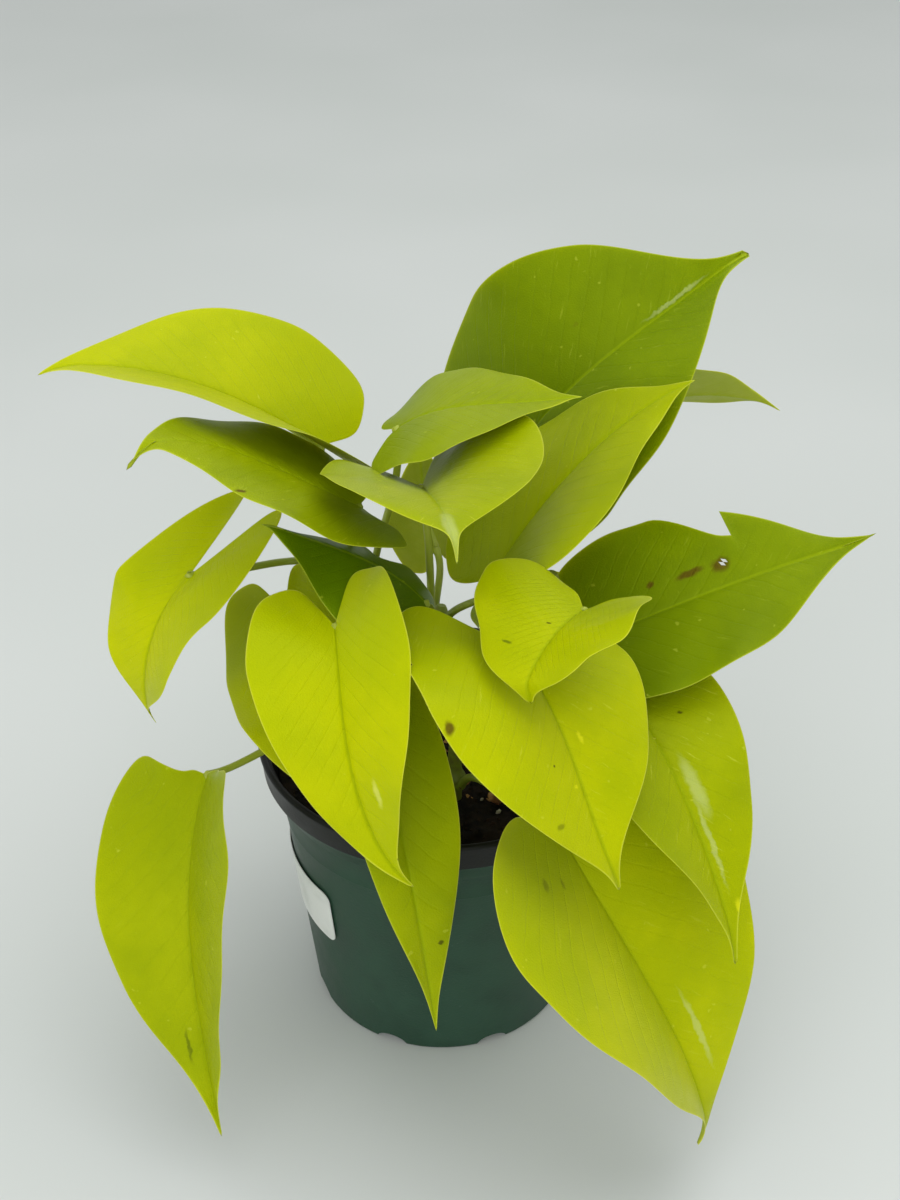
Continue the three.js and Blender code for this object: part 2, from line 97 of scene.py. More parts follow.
def fade(tree, value, start, end, low=0.0, high=1.0):
    """Low where value is at start, high where it is at end, and smooth between."""
    inputs = {"Value": value, "From Min": start, "From Max": end, "To Min": low, "To Max": high}
    node = put(tree, "ShaderNodeMapRange", inputs, interpolation_type="SMOOTHSTEP")
    return node.outputs["Result"]


def blend_colours(tree, share, first, second):
    """The first colour where share is 0, the second where it is 1."""
    node = put(tree, "ShaderNodeMix", data_type="RGBA")
    for index, value in ((0, share), (6, first), (7, second)):
        if isinstance(value, bpy.types.NodeSocket):
            tree.links.new(value, node.inputs[index])
        else:
            node.inputs[index].default_value = value
    return node.outputs[2]


def speckle(tree, vector, scale, detail=2.0, roughness=0.5):
    """A soft random value from 0 to 1, with scale as the number of spots in a metre."""
    inputs = {"Vector": vector, "Scale": scale, "Detail": detail, "Roughness": roughness}
    return put(tree, "ShaderNodeTexNoise", inputs).outputs["Fac"]


def object_place(tree):
    return put(tree, "ShaderNodeTexCoord").outputs["Object"]


def attribute(tree, name):
    return put(tree, "ShaderNodeAttribute", attribute_name=name).outputs["Fac"]


def linear(red, green, blue):
    """A colour given as 0 to 255 display values, as the shaders' linear numbers."""
    def one(value):
        share = value / 255
        return share / 12.92 if share <= 0.04045 else ((share + 0.055) / 1.055) ** 2.4
    return (one(red), one(green), one(blue), 1.0)


def shader_group(name, inputs, outputs):
    """An empty shader node group with named sockets, and its input and output nodes."""
    group = bpy.data.node_groups.new(name, "ShaderNodeTree")
    for label, kind, value in inputs:
        socket = group.interface.new_socket(label, in_out="INPUT", socket_type=kind)
        socket.default_value = value
    for label, kind in outputs:
        group.interface.new_socket(label, in_out="OUTPUT", socket_type=kind)
    return group, group.nodes.new("NodeGroupInput").outputs, group.nodes.new("NodeGroupOutput")


def placed(tree, group, inputs):
    """Puts a shader group in a tree with its own values, and gives its outputs."""
    return put(tree, "ShaderNodeGroup", inputs, node_tree=group).outputs


def material(name):
    """A new material with its tree and its Principled shader."""
    made = bpy.data.materials.new(name)
    made.use_nodes = True
    return made, made.node_tree, made.node_tree.nodes["Principled BSDF"]


def join(tree, source, shader, socket):
    tree.links.new(source, shader.inputs[socket])


def preset(shader, **values):
    """Sets a shader's own inputs, each named with _ for a space."""
    for name, value in values.items():
        shader.inputs[name.replace("_", " ")].default_value = value


def bumped(tree, shader, height, distance):
    """Feeds a height, as a share of distance, to the shader's normal."""
    bump = put(tree, "ShaderNodeBump", {"Height": height, "Distance": distance})
    join(tree, bump.outputs["Normal"], shader, "Normal")


COLOUR, NUMBER, VECTOR = "NodeSocketColor", "NodeSocketFloat", "NodeSocketVector"
GREY = (0.5, 0.5, 0.5, 1.0)


def grain_group():
    """Fine unevenness of a surface: a value for its colour and a height for its bump."""
    group, given, result = shader_group(
        "grain", [("Coarse", NUMBER, 80.0), ("Fine", NUMBER, 1500.0)],
        [("Value", NUMBER), ("Height", NUMBER)])
    place = object_place(group)
    coarse = speckle(group, place, given["Coarse"], 4.0, 0.6)
    fine = speckle(group, place, given["Fine"], 2.0, 0.6)
    group.links.new(coarse, result.inputs["Value"])
    height = calc(group, "MULTIPLY_ADD", fine, 0.5, calc(group, "MULTIPLY", coarse, 0.5))
    group.links.new(height, result.inputs["Height"])
    return group


def blemish_and_sheen_group():
    """A small ragged mark on a blade: mixes a tint over a colour at a place on it."""
    # The marks are blemishes, and whitish streaks of painted sheen over a faint residue.
    group, given, result = shader_group(
        "blemish_and_sheen",
        [("Color", COLOUR, GREY), ("Tint", COLOUR, GREY), ("Place", VECTOR, (0, 0, 0)),
         ("Size", VECTOR, (1, 1, 1)), ("Strength", NUMBER, 1.0)],
        [("Color", COLOUR)])
    here = put(group, "ShaderNodeUVMap", uv_map="blade").outputs["UV"]
    wobble = put(group, "ShaderNodeTexNoise", {"Vector": object_place(group), "Scale": 500.0})
    here = vector_calc(group, "ADD", here, ragged(group, wobble.outputs["Color"], 0.02))
    away = vector_calc(group, "SUBTRACT", here, given["Place"])
    away = vector_calc(group, "DIVIDE", away, given["Size"])
    away = vector_calc(group, "LENGTH", away)
    mask = calc(group, "MULTIPLY", fade(group, away, 1.5, 0.5), given["Strength"])
    mixed = blend_colours(group, mask, given["Color"], given["Tint"])
    group.links.new(mixed, result.inputs["Color"])
    return group


def blade_group():
    """A pothos blade's skin, from its UV map and the distances to margin and midrib."""
    group, given, result = shader_group(
        "blade_skin",
        [("Body", COLOUR, GREY), ("Deep", COLOUR, GREY), ("Pale", COLOUR, GREY),
         ("Under", COLOUR, GREY), ("Midrib", COLOUR, GREY), ("Veins", NUMBER, 9.0),
         ("Flecks", NUMBER, 0.0)],
        [("Color", COLOUR), ("Roughness", NUMBER), ("Height", NUMBER)])
    place = object_place(group)
    blade = parts(group, put(group, "ShaderNodeUVMap", uv_map="blade").outputs["UV"])
    from_midrib = calc(group, "ABSOLUTE", calc(group, "SUBTRACT", blade["X"], 0.5))
    waver = calc(group, "SUBTRACT", speckle(group, place, 70.0), 0.5)
    sweep = calc(group, "MULTIPLY_ADD", from_midrib, -VEIN_SWEEP, blade["Y"])
    phase = calc(group, "MULTIPLY", calc(group, "MULTIPLY_ADD", waver, 0.05, sweep), given["Veins"])
    side = calc(group, "ABSOLUTE", calc(group, "SUBTRACT", calc(group, "FRACT", phase), 0.5))
    vein = fade(group, side, 0.40, 0.5)
    faint = calc(group, "MULTIPLY", vein, fade(group, attribute(group, "to_margin"), 1.0, 9.0))

    patches = fade(group, speckle(group, place, 38.0, 3.0, 0.55), 0.38, 0.66)
    mottle = speckle(group, place, 210.0, 3.0, 0.6)
    patches = calc(group, "MULTIPLY", patches, 0.45)
    colour = blend_colours(group, patches, given["Body"], given["Deep"])
    deeper = fade(group, mottle, 0.35, 0.75, 0.0, 0.16)
    colour = blend_colours(group, deeper, colour, given["Deep"])
    # deeper green towards the stalk: partly the blade's own colour, partly painted shade where
    # blades overlap near it
    base = fade(group, blade["Y"], 0.45, 0.0, 0.0, 0.5)
    colour = blend_colours(group, base, colour, given["Deep"])
    colour = blend_colours(group, calc(group, "MULTIPLY", faint, 0.10), colour, given["Deep"])

    streaks = put(group, "ShaderNodeCombineXYZ",
                  {"X": calc(group, "MULTIPLY", phase, 3.0),
                   "Y": calc(group, "MULTIPLY", from_midrib, 9.0)}).outputs[0]
    fleck = fade(group, speckle(group, streaks, 1.6, 4.0, 0.65), 0.60, 0.72)
    fleck = calc(group, "MULTIPLY", fleck, given["Flecks"])
    colour = blend_colours(group, fleck, colour, given["Pale"])
    dots = fade(group, speckle(group, place, 420.0, 1.0), 0.74, 0.80, 0.0, 0.35)
    colour = blend_colours(group, dots, colour, given["Pale"])

    under = fade(group, mottle, 0.3, 0.7, 0.0, 0.3)
    under = blend_colours(group, under, given["Under"], given["Deep"])
    colour = blend_colours(group, attribute(group, "under"), colour, under)
    midrib = fade(group, attribute(group, "to_midrib"), 0.8, 0.2, 0.0, 0.55)
    colour = blend_colours(group, midrib, colour, given["Midrib"])
    margin = fade(group, attribute(group, "to_margin"), 0.5, 0.1, 0.0, 0.6)
    colour = blend_colours(group, margin, colour, given["Pale"])
    group.links.new(colour, result.inputs["Color"])

    rough = calc(group, "MULTIPLY_ADD", mottle, 0.16, 0.33)
    rough = calc(group, "MULTIPLY_ADD", attribute(group, "under"), 0.14, rough)
    group.links.new(rough, result.inputs["Roughness"])

    cells = put(group, "ShaderNodeTexVoronoi", {"Vector": place, "Scale": 1300.0},
                feature="DISTANCE_TO_EDGE").outputs["Distance"]
    height = calc(group, "MULTIPLY_ADD", fade(group, cells, 0.0, 0.25), 0.25,
                  calc(group, "MULTIPLY", mottle, 0.6))
    height = calc(group, "SUBTRACT", height, calc(group, "MULTIPLY", faint, 0.5))
    group.links.new(height, result.inputs["Height"])
    return group


def crumb_group():
    """A crumbly stuff: mixes a dark and a light colour, and gives a height for its bump."""
    group, given, result = shader_group(
        "crumb", [("Dark", COLOUR, GREY), ("Light", COLOUR, GREY)],
        [("Color", COLOUR), ("Height", NUMBER)])
    place = object_place(group)
    patches = fade(group, speckle(group, place, 190.0, 3.0, 0.6), 0.38, 0.62)
    colour = blend_colours(group, patches, given["Dark"], given["Light"])
    fine = speckle(group, place, 2400.0, 2.0, 0.6)
    # painted shade between the grains: where the fine noise that also makes the bump is high, the
    # colour darkens towards Dark
    painted_shade = fade(group, fine, 0.4, 0.7, 0.0, 0.45)
    colour = blend_colours(group, painted_shade, colour, given["Dark"])
    group.links.new(colour, result.inputs["Color"])
    group.links.new(fine, result.inputs["Height"])
    return group


# ---- Reading the plain solids ------------------------------------------------

CAP_EDGE = 0.35  # an edge whose faces' normals agree less than this is at a tube's end


def joined(node):
    """A CAD node's mesh with its loose triangles joined. The caller frees it."""
    shape = bmesh.new()
    shape.from_mesh(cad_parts[node].data)
    bmesh.ops.remove_doubles(shape, verts=shape.verts, dist=JOIN)
    return shape


def neighbours(vertex):
    """The vertices that share an edge with this one."""
    return [edge.other_vert(vertex) for edge in vertex.link_edges]


def hops(start):
    """How many edges each vertex lies from the nearest starting one."""
    found = {vertex: 0 for vertex in start}
    front = list(start)
    while front:
        following = []
        for vertex in front:
            for other in neighbours(vertex):
                if other not in found:
                    found[other] = found[vertex] + 1
                    following.append(other)
        front = following
    return found


def in_turn(ring):
    """The vertices of a closed ring, each next to the one before."""
    order = [ring[0]]
    while len(order) < len(ring):
        order.append(next(v for v in neighbours(order[-1]) if v in ring and v not in order))
    return order


def through(points, places):
    """A natural cubic spline through points numbered from 0, read at the given places."""
    count = len(points)
    left_side = np.eye(count)
    right_side = np.zeros(points.shape)
    for i in range(1, count - 1):
        left_side[i, i - 1:i + 2] = (1, 4, 1)
        right_side[i] = 6 * (points[i + 1] - 2 * points[i] + points[i - 1])
    bend = np.linalg.solve(left_side, right_side.reshape(count, -1)).reshape(points.shape)
    before = np.clip(np.floor(places).astype(int), 0, count - 2)
    b = (places - before).reshape((-1,) + (1,) * (points.ndim - 1))
    a = 1 - b
    curved = (a ** 3 - a) * bend[before] + (b ** 3 - b) * bend[before + 1]
    return a * points[before] + b * points[before + 1] + curved / 6


def tube_line(node):
    """The middle line of a plain tube, as one point for each of its rings."""
    shape = joined(node)
    shape.normal_update()
    corners = set()
    for edge in shape.edges:
        first, second = (face.normal for face in edge.link_faces)
        if first.dot(second) < CAP_EDGE:
            corners.update(edge.verts)
    cap = [min(corners, key=lambda v: v.index)]
    for vertex in cap:
        cap.extend(v for v in neighbours(vertex) if v in corners and v not in cap)
    steps = hops(cap)
    rings = [[v.co for v in steps if steps[v] == ring] for ring in range(max(steps.values()) + 1)]
    line = np.array([np.mean(ring, axis=0) for ring in rings])
    shape.free()
    return line


def opened(ring, turn):
    """A closed ring of points as its two sides, both from the point numbered turn."""
    count = len(ring)
    steps = range(count // 2 + 1)
    return ring[[(turn + k) % count for k in steps]], ring[[(turn - k) % count for k in steps]]


def apart(sides):
    """The distances between the matching points of two sides, added up."""
    return np.linalg.norm(sides[0] - sides[1], axis=1).sum()


def blade_sheet(name, stalk_end):
    """A leaf's middle sheet: rows from the stalk to the point, columns from right to left."""
    shape = joined("leaf_" + name)
    poles = sorted(shape.verts, key=lambda v: -len(v.link_edges))[:2]
    base, tip = sorted(poles, key=lambda v: np.linalg.norm(np.array(v.co) - stalk_end))
    rows = hops([base])
    length = rows[tip]
    sheet = []
    for row in range(1, length):
        ring = np.array([v.co for v in in_turn([v for v in rows if rows[v] == row])])
        folds = [opened(ring, turn) for turn in range(len(ring) // 2)]
        forward, backward = min(folds, key=apart)
        sheet.append((forward + backward) / 2)
    middle = len(sheet) // 2
    for row in [*range(middle + 1, len(sheet)), *range(middle - 1, -1, -1)]:
        beside = sheet[row - 1] if row > middle else sheet[row + 1]
        if np.linalg.norm(sheet[row] - beside) > np.linalg.norm(sheet[row][::-1] - beside):
            sheet[row] = sheet[row][::-1]
    columns = sheet[0].shape[0]
    ends = [np.tile(np.array(pole.co), (columns, 1)) for pole in (base, tip)]
    sheet = np.array([ends[0], *sheet, ends[1]])
    shape.free()
    along = sheet[3, columns // 2] - sheet[0, columns // 2]
    across = sheet[3, -1] - sheet[3, 0]
    if np.cross(along, across) @ (sheet[0, 0] - stalk_end) < 0:
        sheet = sheet[:, ::-1]
    return sheet


# ---- Pieces ------------------------------------------------------------------


def added(name, data):
    """A new object in the scene."""
    made = bpy.data.objects.new(name, data)
    bpy.context.scene.collection.objects.link(made)
    return made


def finished(shape, name):
    """A bmesh as a plain mesh. The bmesh is freed."""
    mesh = bpy.data.meshes.new(name)
    shape.to_mesh(mesh)
    shape.free()
    return mesh


def store(mesh, label, values):
    """Keeps a number for each vertex of a mesh."""
    mesh.attributes.new(label, "FLOAT", "POINT").data.foreach_set("value", values)


def piece(name, mesh, finish, slot, *nodes):
    """Adds a finished mesh that stands for CAD nodes and rides with the plant."""
    made = added(name, mesh)
    mesh.materials.clear()
    mesh.materials.append(finish)
    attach(made, "root")
    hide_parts(*nodes)
    return made


def smooth(mesh, sharp_angle=None):
    """Shades a mesh smooth, but for edges past an angle in degrees if one is given."""
    mesh.polygons.foreach_set("use_smooth", [True] * len(mesh.polygons))
    if sharp_angle is not None:
        mesh.set_sharp_from_angle(angle=math.radians(sharp_angle))
    mesh.update()


def evaluated(holder, name):
    """The plain mesh that an object's modifiers make. The object itself is removed."""
    bpy.context.view_layer.update()
    graph = bpy.context.evaluated_depsgraph_get()
    mesh = bpy.data.meshes.new_from_object(holder.evaluated_get(graph), depsgraph=graph)
    mesh.name = name
    old = holder.data
    bpy.data.objects.remove(holder)
    if isinstance(old, bpy.types.Mesh) and old.users == 0:
        bpy.data.meshes.remove(old)
    return mesh


def grown(name, mesh, tree, values):
    """The mesh that a Geometry Nodes tree makes of another, with named inputs set."""
    holder = added(name, mesh)
    modifier = holder.modifiers.new("grow", "NODES")
    modifier.node_group = tree
    sockets = {item.name: item.identifier for item in tree.interface.items_tree
               if item.item_type == "SOCKET" and item.in_out == "INPUT"}
    for label, value in values.items():
        modifier[sockets[label]] = value
    return evaluated(holder, name)


def geometry_tree(name, inputs):
    """A Geometry Nodes tree with a geometry and the named inputs, and its end nodes."""
    tree = bpy.data.node_groups.new(name, "GeometryNodeTree")
    tree.interface.new_socket("Geometry", in_out="INPUT", socket_type="NodeSocketGeometry")
    for label, kind, value in inputs:
        socket = tree.interface.new_socket(label, in_out="INPUT", socket_type=kind)
        if value is not None:
            socket.default_value = value
    tree.interface.new_socket("Geometry", in_out="OUTPUT", socket_type="NodeSocketGeometry")
    return tree, tree.nodes.new("NodeGroupInput").outputs, tree.nodes.new("NodeGroupOutput")


def unit(vectors):
    """Vectors made one long. A vector of nothing stays nothing."""
    return vectors / np.maximum(np.linalg.norm(vectors, axis=-1, keepdims=True), 1e-12)


# ---- Leaves ------------------------------------------------------------------

BLADE_ROWS = 96
BLADE_HALF = 22  # columns on each side of the midrib
BLADE_THICKNESS = 0.42 * MM
VEIN_SWEEP = 1.1  # how far side veins run forward for each step out from the midrib
VEIN_COUNT = 11.0
VEIN_RELIEF = 0.05 * MM
VEIN_FADE = 8 * MM  # veins flatten within this of the margin
MIDRIB_GROOVE = 0.28 * MM
MIDRIB_GROOVE_HALF = 0.7 * MM
MIDRIB_RIDGE = 0.75 * MM
MIDRIB_RIDGE_HALF = 0.9 * MM
MARGIN_EDGE = 8  # the higher, the nearer to its margin a blade starts to thin
HOOK_START = 0.88  # how far along the blade its point starts to bend down

# What each blade looks like. `tone` mixes its colour from 0, young and golden, to 1,
# old and green, and also paints shade: blades that lie in shade or turn from the light
# are given a darker, greener tone. `tail` narrows the last of it to a drip tip, or below 0
# rounds it, and the point bends down by `hook` in mm. `wave` is the ripple of its margins
# in mm and `flecks` its pale marks. `dents` are soft hollows in a margin as (side, middle,
# half length, depth), `bites` are gaps with a torn end as (side, start, end, depth),
# `holes` go through as (across, along, half width, half length), and `marks` are
# blemishes as (kind, across, along, half width, half length); the whitish streaks along
# the midrib among them are painted sheen over a faint dusty residue. A side is 1 for the
# blade's left.
BLADES = {
    "top_left": dict(tone=0.24, tail=0.3, hook=2.0, wave=0.6),
    "upper_left": dict(tone=0.60, tail=0.45, hook=7.0, wave=0.9, flecks=0.45,
                       marks=[("brown", 0.32, 0.62, 0.008, 0.02)]),
    "left": dict(tone=0.12, tail=0.95, hook=0.5, wave=0.8, dents=[(1, 0.62, 0.12, 0.2)],
                 marks=[("brown", 0.0, 0.93, 0.012, 0.03)]),
    # painted shade: much of this blade's deep green tone stands for the shade it lies in
    "centre_shaded": dict(tone=0.95, tail=0.3, hook=1.0, wave=0.9),
    "front_left": dict(tone=0.10, tail=0.35, hook=1.0, wave=0.9,
                       dents=[(-1, 0.72, 0.24, 0.30), (1, 0.55, 0.2, 0.1)],
                       marks=[("pale", 0.10, 0.62, 0.012, 0.045),
                              ("dot", 0.06, 0.88, 0.006, 0.006)]),
    "behind_front_left": dict(tone=0.35, tail=0.3, hook=1.0, wave=1.2),
    "low_left": dict(tone=0.44, tail=0.5, hook=0.5, wave=1.0,
                     dents=[(-1, 0.16, 0.07, 0.16), (1, 0.3, 0.3, 0.12)],
                     marks=[("scratch", -0.04, 0.74, 0.005, 0.04)]),
    "front_hanging": dict(tone=0.48, tail=0.3, hook=0.5, wave=0.7,
                          marks=[("dot", 0.05, 0.72, 0.006, 0.006)]),
    "front_right": dict(tone=0.20, tail=0.5, hook=1.5, wave=1.0, flecks=0.3,
                        bites=[(-1, 0.34, 0.37, 0.05)],
                        marks=[("brown", -0.47, 0.23, 0.018, 0.022),
                               ("yellow", 0.06, 0.45, 0.008, 0.02),
                               ("yellow", -0.03, 0.6, 0.008, 0.008),
                               ("smudge", -0.16, 0.70, 0.018, 0.010),
                               ("dot", -0.1, 0.5, 0.005, 0.005)]),
    "young": dict(tone=0.26, tail=-0.9, hook=5.0, wave=0.9,
                  marks=[("scratch", -0.34, 0.62, 0.045, 0.012),
                         ("dot", -0.12, 0.30, 0.02, 0.008)]),
    "right_drooping": dict(tone=0.46, tail=0.6, hook=1.5, wave=1.0, flecks=0.45,
                           marks=[("scar", 0.055, 0.44, 0.022, 0.09),
                                  ("scar", 0.03, 0.62, 0.008, 0.12),
                                  ("yellow", 0.05, 0.84, 0.010, 0.022),
                                  ("dot", 0.16, 0.2, 0.008, 0.006)]),
    "low_right": dict(tone=0.22, tail=0.6, hook=3.5, wave=1.2, flecks=0.2,
                      dents=[(-1, 0.06, 0.04, 0.12)],
                      marks=[("smudge", -0.26, 0.06, 0.012, 0.014),
                             ("smudge", -0.17, 0.10, 0.008, 0.012),
                             ("scar", 0.07, 0.66, 0.008, 0.10)]),
    "right": dict(tone=0.80, tail=0.45, hook=-2.5, wave=1.2, flecks=0.15,
                  bites=[(1, 0.53, 0.665, 0.40)],
                  holes=[(0.10, 0.36, 0.009, 0.014), (0.085, 0.485, 0.014, 0.017)],
                  marks=[("brown", 0.10, 0.37, 0.014, 0.045),
                         ("brown", 0.085, 0.480, 0.024, 0.030),
                         ("brown", 0.13, 0.23, 0.012, 0.012),
                         ("smudge", 0.02, 0.05, 0.01, 0.01)]),
    "top_right": dict(tone=0.82, tail=0.6, hook=3.0, wave=1.0, flecks=0.25,
                      marks=[("scar", 0.015, 0.72, 0.006, 0.10),
                             ("smudge", 0.16, 0.42, 0.006, 0.01)]),
    "upper_right": dict(tone=0.48, tail=0.3, hook=0.5, wave=1.2, flecks=0.1),
    "far_right": dict(tone=0.35, tail=0.5, hook=1.5, wave=0.6),
    "upper_centre": dict(tone=0.62, tail=0.3, hook=0.5, wave=0.7),
    "pale_forward": dict(tone=0.46, tail=0.95, hook=3.0, wave=0.7, flecks=0.6,
                         marks=[("scar", 0.0, 0.86, 0.03, 0.12)]),
    "centre_back": dict(tone=0.5, tail=0.2, hook=0.5, wave=0.4),
    "right_hidden": dict(tone=0.2, tail=0.2, hook=0.5, wave=0.4),
}
OUTLINE = ("tail", "hook", "wave", "dents", "bites", "holes")


def ramp(value, start, end):
    """0 up to start, 1 from end, and smooth between."""
    share = np.clip((value - start) / (end - start), 0, 1)
    return share * share * (3 - 2 * share)


def margin_reach(share, side, tail, dents, bites):
    """How much of the full half width a blade keeps at each row on one side."""
    reach = 1 - 0.72 * tail * ramp(share, 0.68, 0.92)
    for dented, middle, half, depth in dents:
        if dented == side:
            reach *= 1 - depth * np.exp(-((share - middle) / half) ** 2)
    for bitten, start, end, depth in bites:
        if bitten == side:
            reach *= 1 - depth * ramp(share, start, start + 0.8 * (end - start)) * (share < end)
    return reach


def fine_blade(sheet, seed, tail, hook, wave, dents=(), bites=()):
    """The blade's middle sheet as a fine grid, with the share of each row and column."""
    share = np.linspace(0, 1, BLADE_ROWS + 1)
    tall = through(sheet, share * (len(sheet) - 1))
    out = (1 - np.cos(np.linspace(0, math.pi, BLADE_HALF + 1))) / 2
    middle = sheet.shape[1] // 2
    halves = []
    for side, columns in ((-1, tall[:, middle::-1]), (1, tall[:, middle:])):
        reach = margin_reach(share, side, tail, dents, bites)
        halves.append(np.array([through(columns[row], out * middle * reach[row])
                                for row in range(len(share))]))
    grid = np.concatenate([halves[0][:, :0:-1], halves[1]], axis=1)
    out = np.concatenate([-out[:0:-1], out])
    up = sheet_normals(grid)
    ends = np.sin(share * math.pi)[:, None] ** 0.7
    ripple = np.sin(share[:, None] * (17 + seed % 5) + seed + 2.2 * np.sign(out)[None, :])
    ripple += 0.5 * np.sin(share[:, None] * (31 + seed % 7) + 2.0 * seed)
    grid = grid + up * (wave * MM * ends * np.abs(out)[None, :] ** 3 * ripple)[..., None]
    last = np.clip((share - HOOK_START) / (1 - HOOK_START), 0, 1)
    grid = grid - up * (hook * MM * last ** 2)[:, None, None]
    return grid, share, out


def sheet_normals(grid):
    """The upward normal at each point of a grid of rows and columns."""
    up = unit(np.cross(np.gradient(grid, axis=0), np.gradient(grid, axis=1)))
    up[0] = unit(up[1].mean(axis=0))
    up[-1] = unit(up[-2].mean(axis=0))
    return up


def blade_mesh(name, sheet, seed, holes=(), **shape):
    """A blade with its thickness, veins and margins, and the maps its skin reads."""
    grid, share, out = fine_blade(sheet, seed, **shape)
    up = sheet_normals(grid)
    length = np.linalg.norm(grid[-1, 0] - grid[0, 0])
    chord = (grid[-1, 0] - grid[0, 0]) / length
    midrib = grid[:, BLADE_HALF][:, None]
    to_midrib = np.linalg.norm(grid - midrib, axis=2)
    to_margin = np.concatenate(
        [np.linalg.norm(grid[:, :BLADE_HALF] - grid[:, :1], axis=2),
         np.linalg.norm(grid[:, BLADE_HALF:] - grid[:, -1:], axis=2)], axis=1)
    along = ((grid - grid[0, 0]) @ chord) / length
    phase = (along - VEIN_SWEEP * to_midrib / length) * VEIN_COUNT
    inner = np.clip(to_margin / VEIN_FADE, 0, 1) * np.sin(share * math.pi)[:, None] ** 0.5
    quilt = VEIN_RELIEF * np.cos(2 * math.pi * (phase - 0.5)) * inner
    groove = MIDRIB_GROOVE * np.exp(-(to_midrib / MIDRIB_GROOVE_HALF) ** 2)
    ridge = MIDRIB_RIDGE * np.exp(-(to_midrib / MIDRIB_RIDGE_HALF) ** 2)
    ridge = ridge * (1 - 0.8 * share[:, None])
    ends = np.sin(share * math.pi)[:, None] ** 0.35
    ends[0] = ends[-1] = 0
    edge = 1 - out[None, :] ** MARGIN_EDGE
    body = BLADE_THICKNESS / 2 * edge ** 0.5 * ends
    top = grid + up * (body + (quilt - groove) * edge * ends)[..., None]
    bottom = grid - up * (body + (ridge - quilt) * edge * ends)[..., None]

    rows, columns = grid.shape[:2]
    numbers = {}
    points, facts = [], []

    def vertex(row, column, lower):
        pole = row in (0, rows - 1)
        shared = pole or column in (0, columns - 1)
        key = (row, 0 if pole else column, 0 if shared else lower)
        if key not in numbers:
            numbers[key] = len(points)
            points.append((bottom if lower and not shared else top)[row, column])
            facts.append((to_midrib[row, column] / MM, to_margin[row, column] / MM,
                          float(lower and not shared)))
        return numbers[key]

    signed = to_midrib * np.sign(out)[None, :]
    cut = set()
    for across, up_blade, half_width, half_length in holes:
        sideways = (signed / length - across) / half_width
        away = sideways ** 2 + ((along - up_blade) / half_length) ** 2
        cut.update((row, column) for row, column in np.argwhere(away < 1).tolist())
    faces, corners = [], []

    def face_of(spots):
        face, places = [], []
        for row, column, lower in spots:
            number = vertex(row, column, lower)
            if number not in face:
                face.append(number)
                places.append((row, column))
        if len(face) > 2:
            faces.append(face)
            corners.extend(places)

    steps = ((0, 0, 0, -1), (1, 0, 1, 0), (1, 1, 0, 1), (0, 1, -1, 0))
    for row in range(rows - 1):
        for column in range(columns - 1):
            spots = [(row + down, column + side) for down, side, _, _ in steps]
            if (row, column) not in cut:
                face_of([(*spot, 0) for spot in spots])
                face_of([(*spot, 1) for spot in reversed(spots)])
                continue
            for k, (_, _, down, side) in enumerate(steps):
                if (row + down, column + side) not in cut:
                    first, second = spots[k], spots[(k + 1) % 4]
                    face_of([(*first, 0), (*second, 0), (*second, 1), (*first, 1)])
    mesh = bpy.data.meshes.new(name)
    mesh.from_pydata(points, [], faces)
    atlas = mesh.uv_layers.new(name="blade")
    flat = [value for row, column in corners
            for value in (0.5 + signed[row, column] / length, along[row, column])]
    atlas.data.foreach_set("uv", flat)
    for label, values in zip(("to_midrib", "to_margin", "under"), zip(*facts)):
        store(mesh, label, values)
    smooth(mesh)
    return mesh


YOUNG = linear(196, 202, 0)
GREEN = linear(84, 118, 0)
YOUNG_DEEP = linear(166, 182, 0)
GREEN_DEEP = linear(58, 92, 2)
YOUNG_PALE = linear(220, 222, 70)
GREEN_PALE = linear(172, 186, 60)
YOUNG_UNDER = linear(166, 178, 30)
GREEN_UNDER = linear(140, 154, 70)
YOUNG_MIDRIB = linear(150, 166, 0)
GREEN_MIDRIB = linear(140, 162, 10)
LEAF_SHEEN = (0.9, 1.0, 0.15, 1.0)
TINTS = {
    "brown": (linear(84, 62, 14), 0.9),
    "dot": (linear(64, 62, 10), 0.85),
    "pale": (linear(222, 224, 110), 0.6),
    "yellow": (linear(226, 224, 30), 0.6),
    # whitish streaks along the midrib: painted sheen over a faint dusty residue
    "scar": (linear(204, 214, 150), 0.34),
    "scratch": (linear(92, 108, 8), 0.8),
    "smudge": (linear(104, 112, 10), 0.6),
}


def between(first, second, share):
    """A colour that far on the way from the first to the second."""
    return tuple(a + (b - a) * share for a, b in zip(first, second))


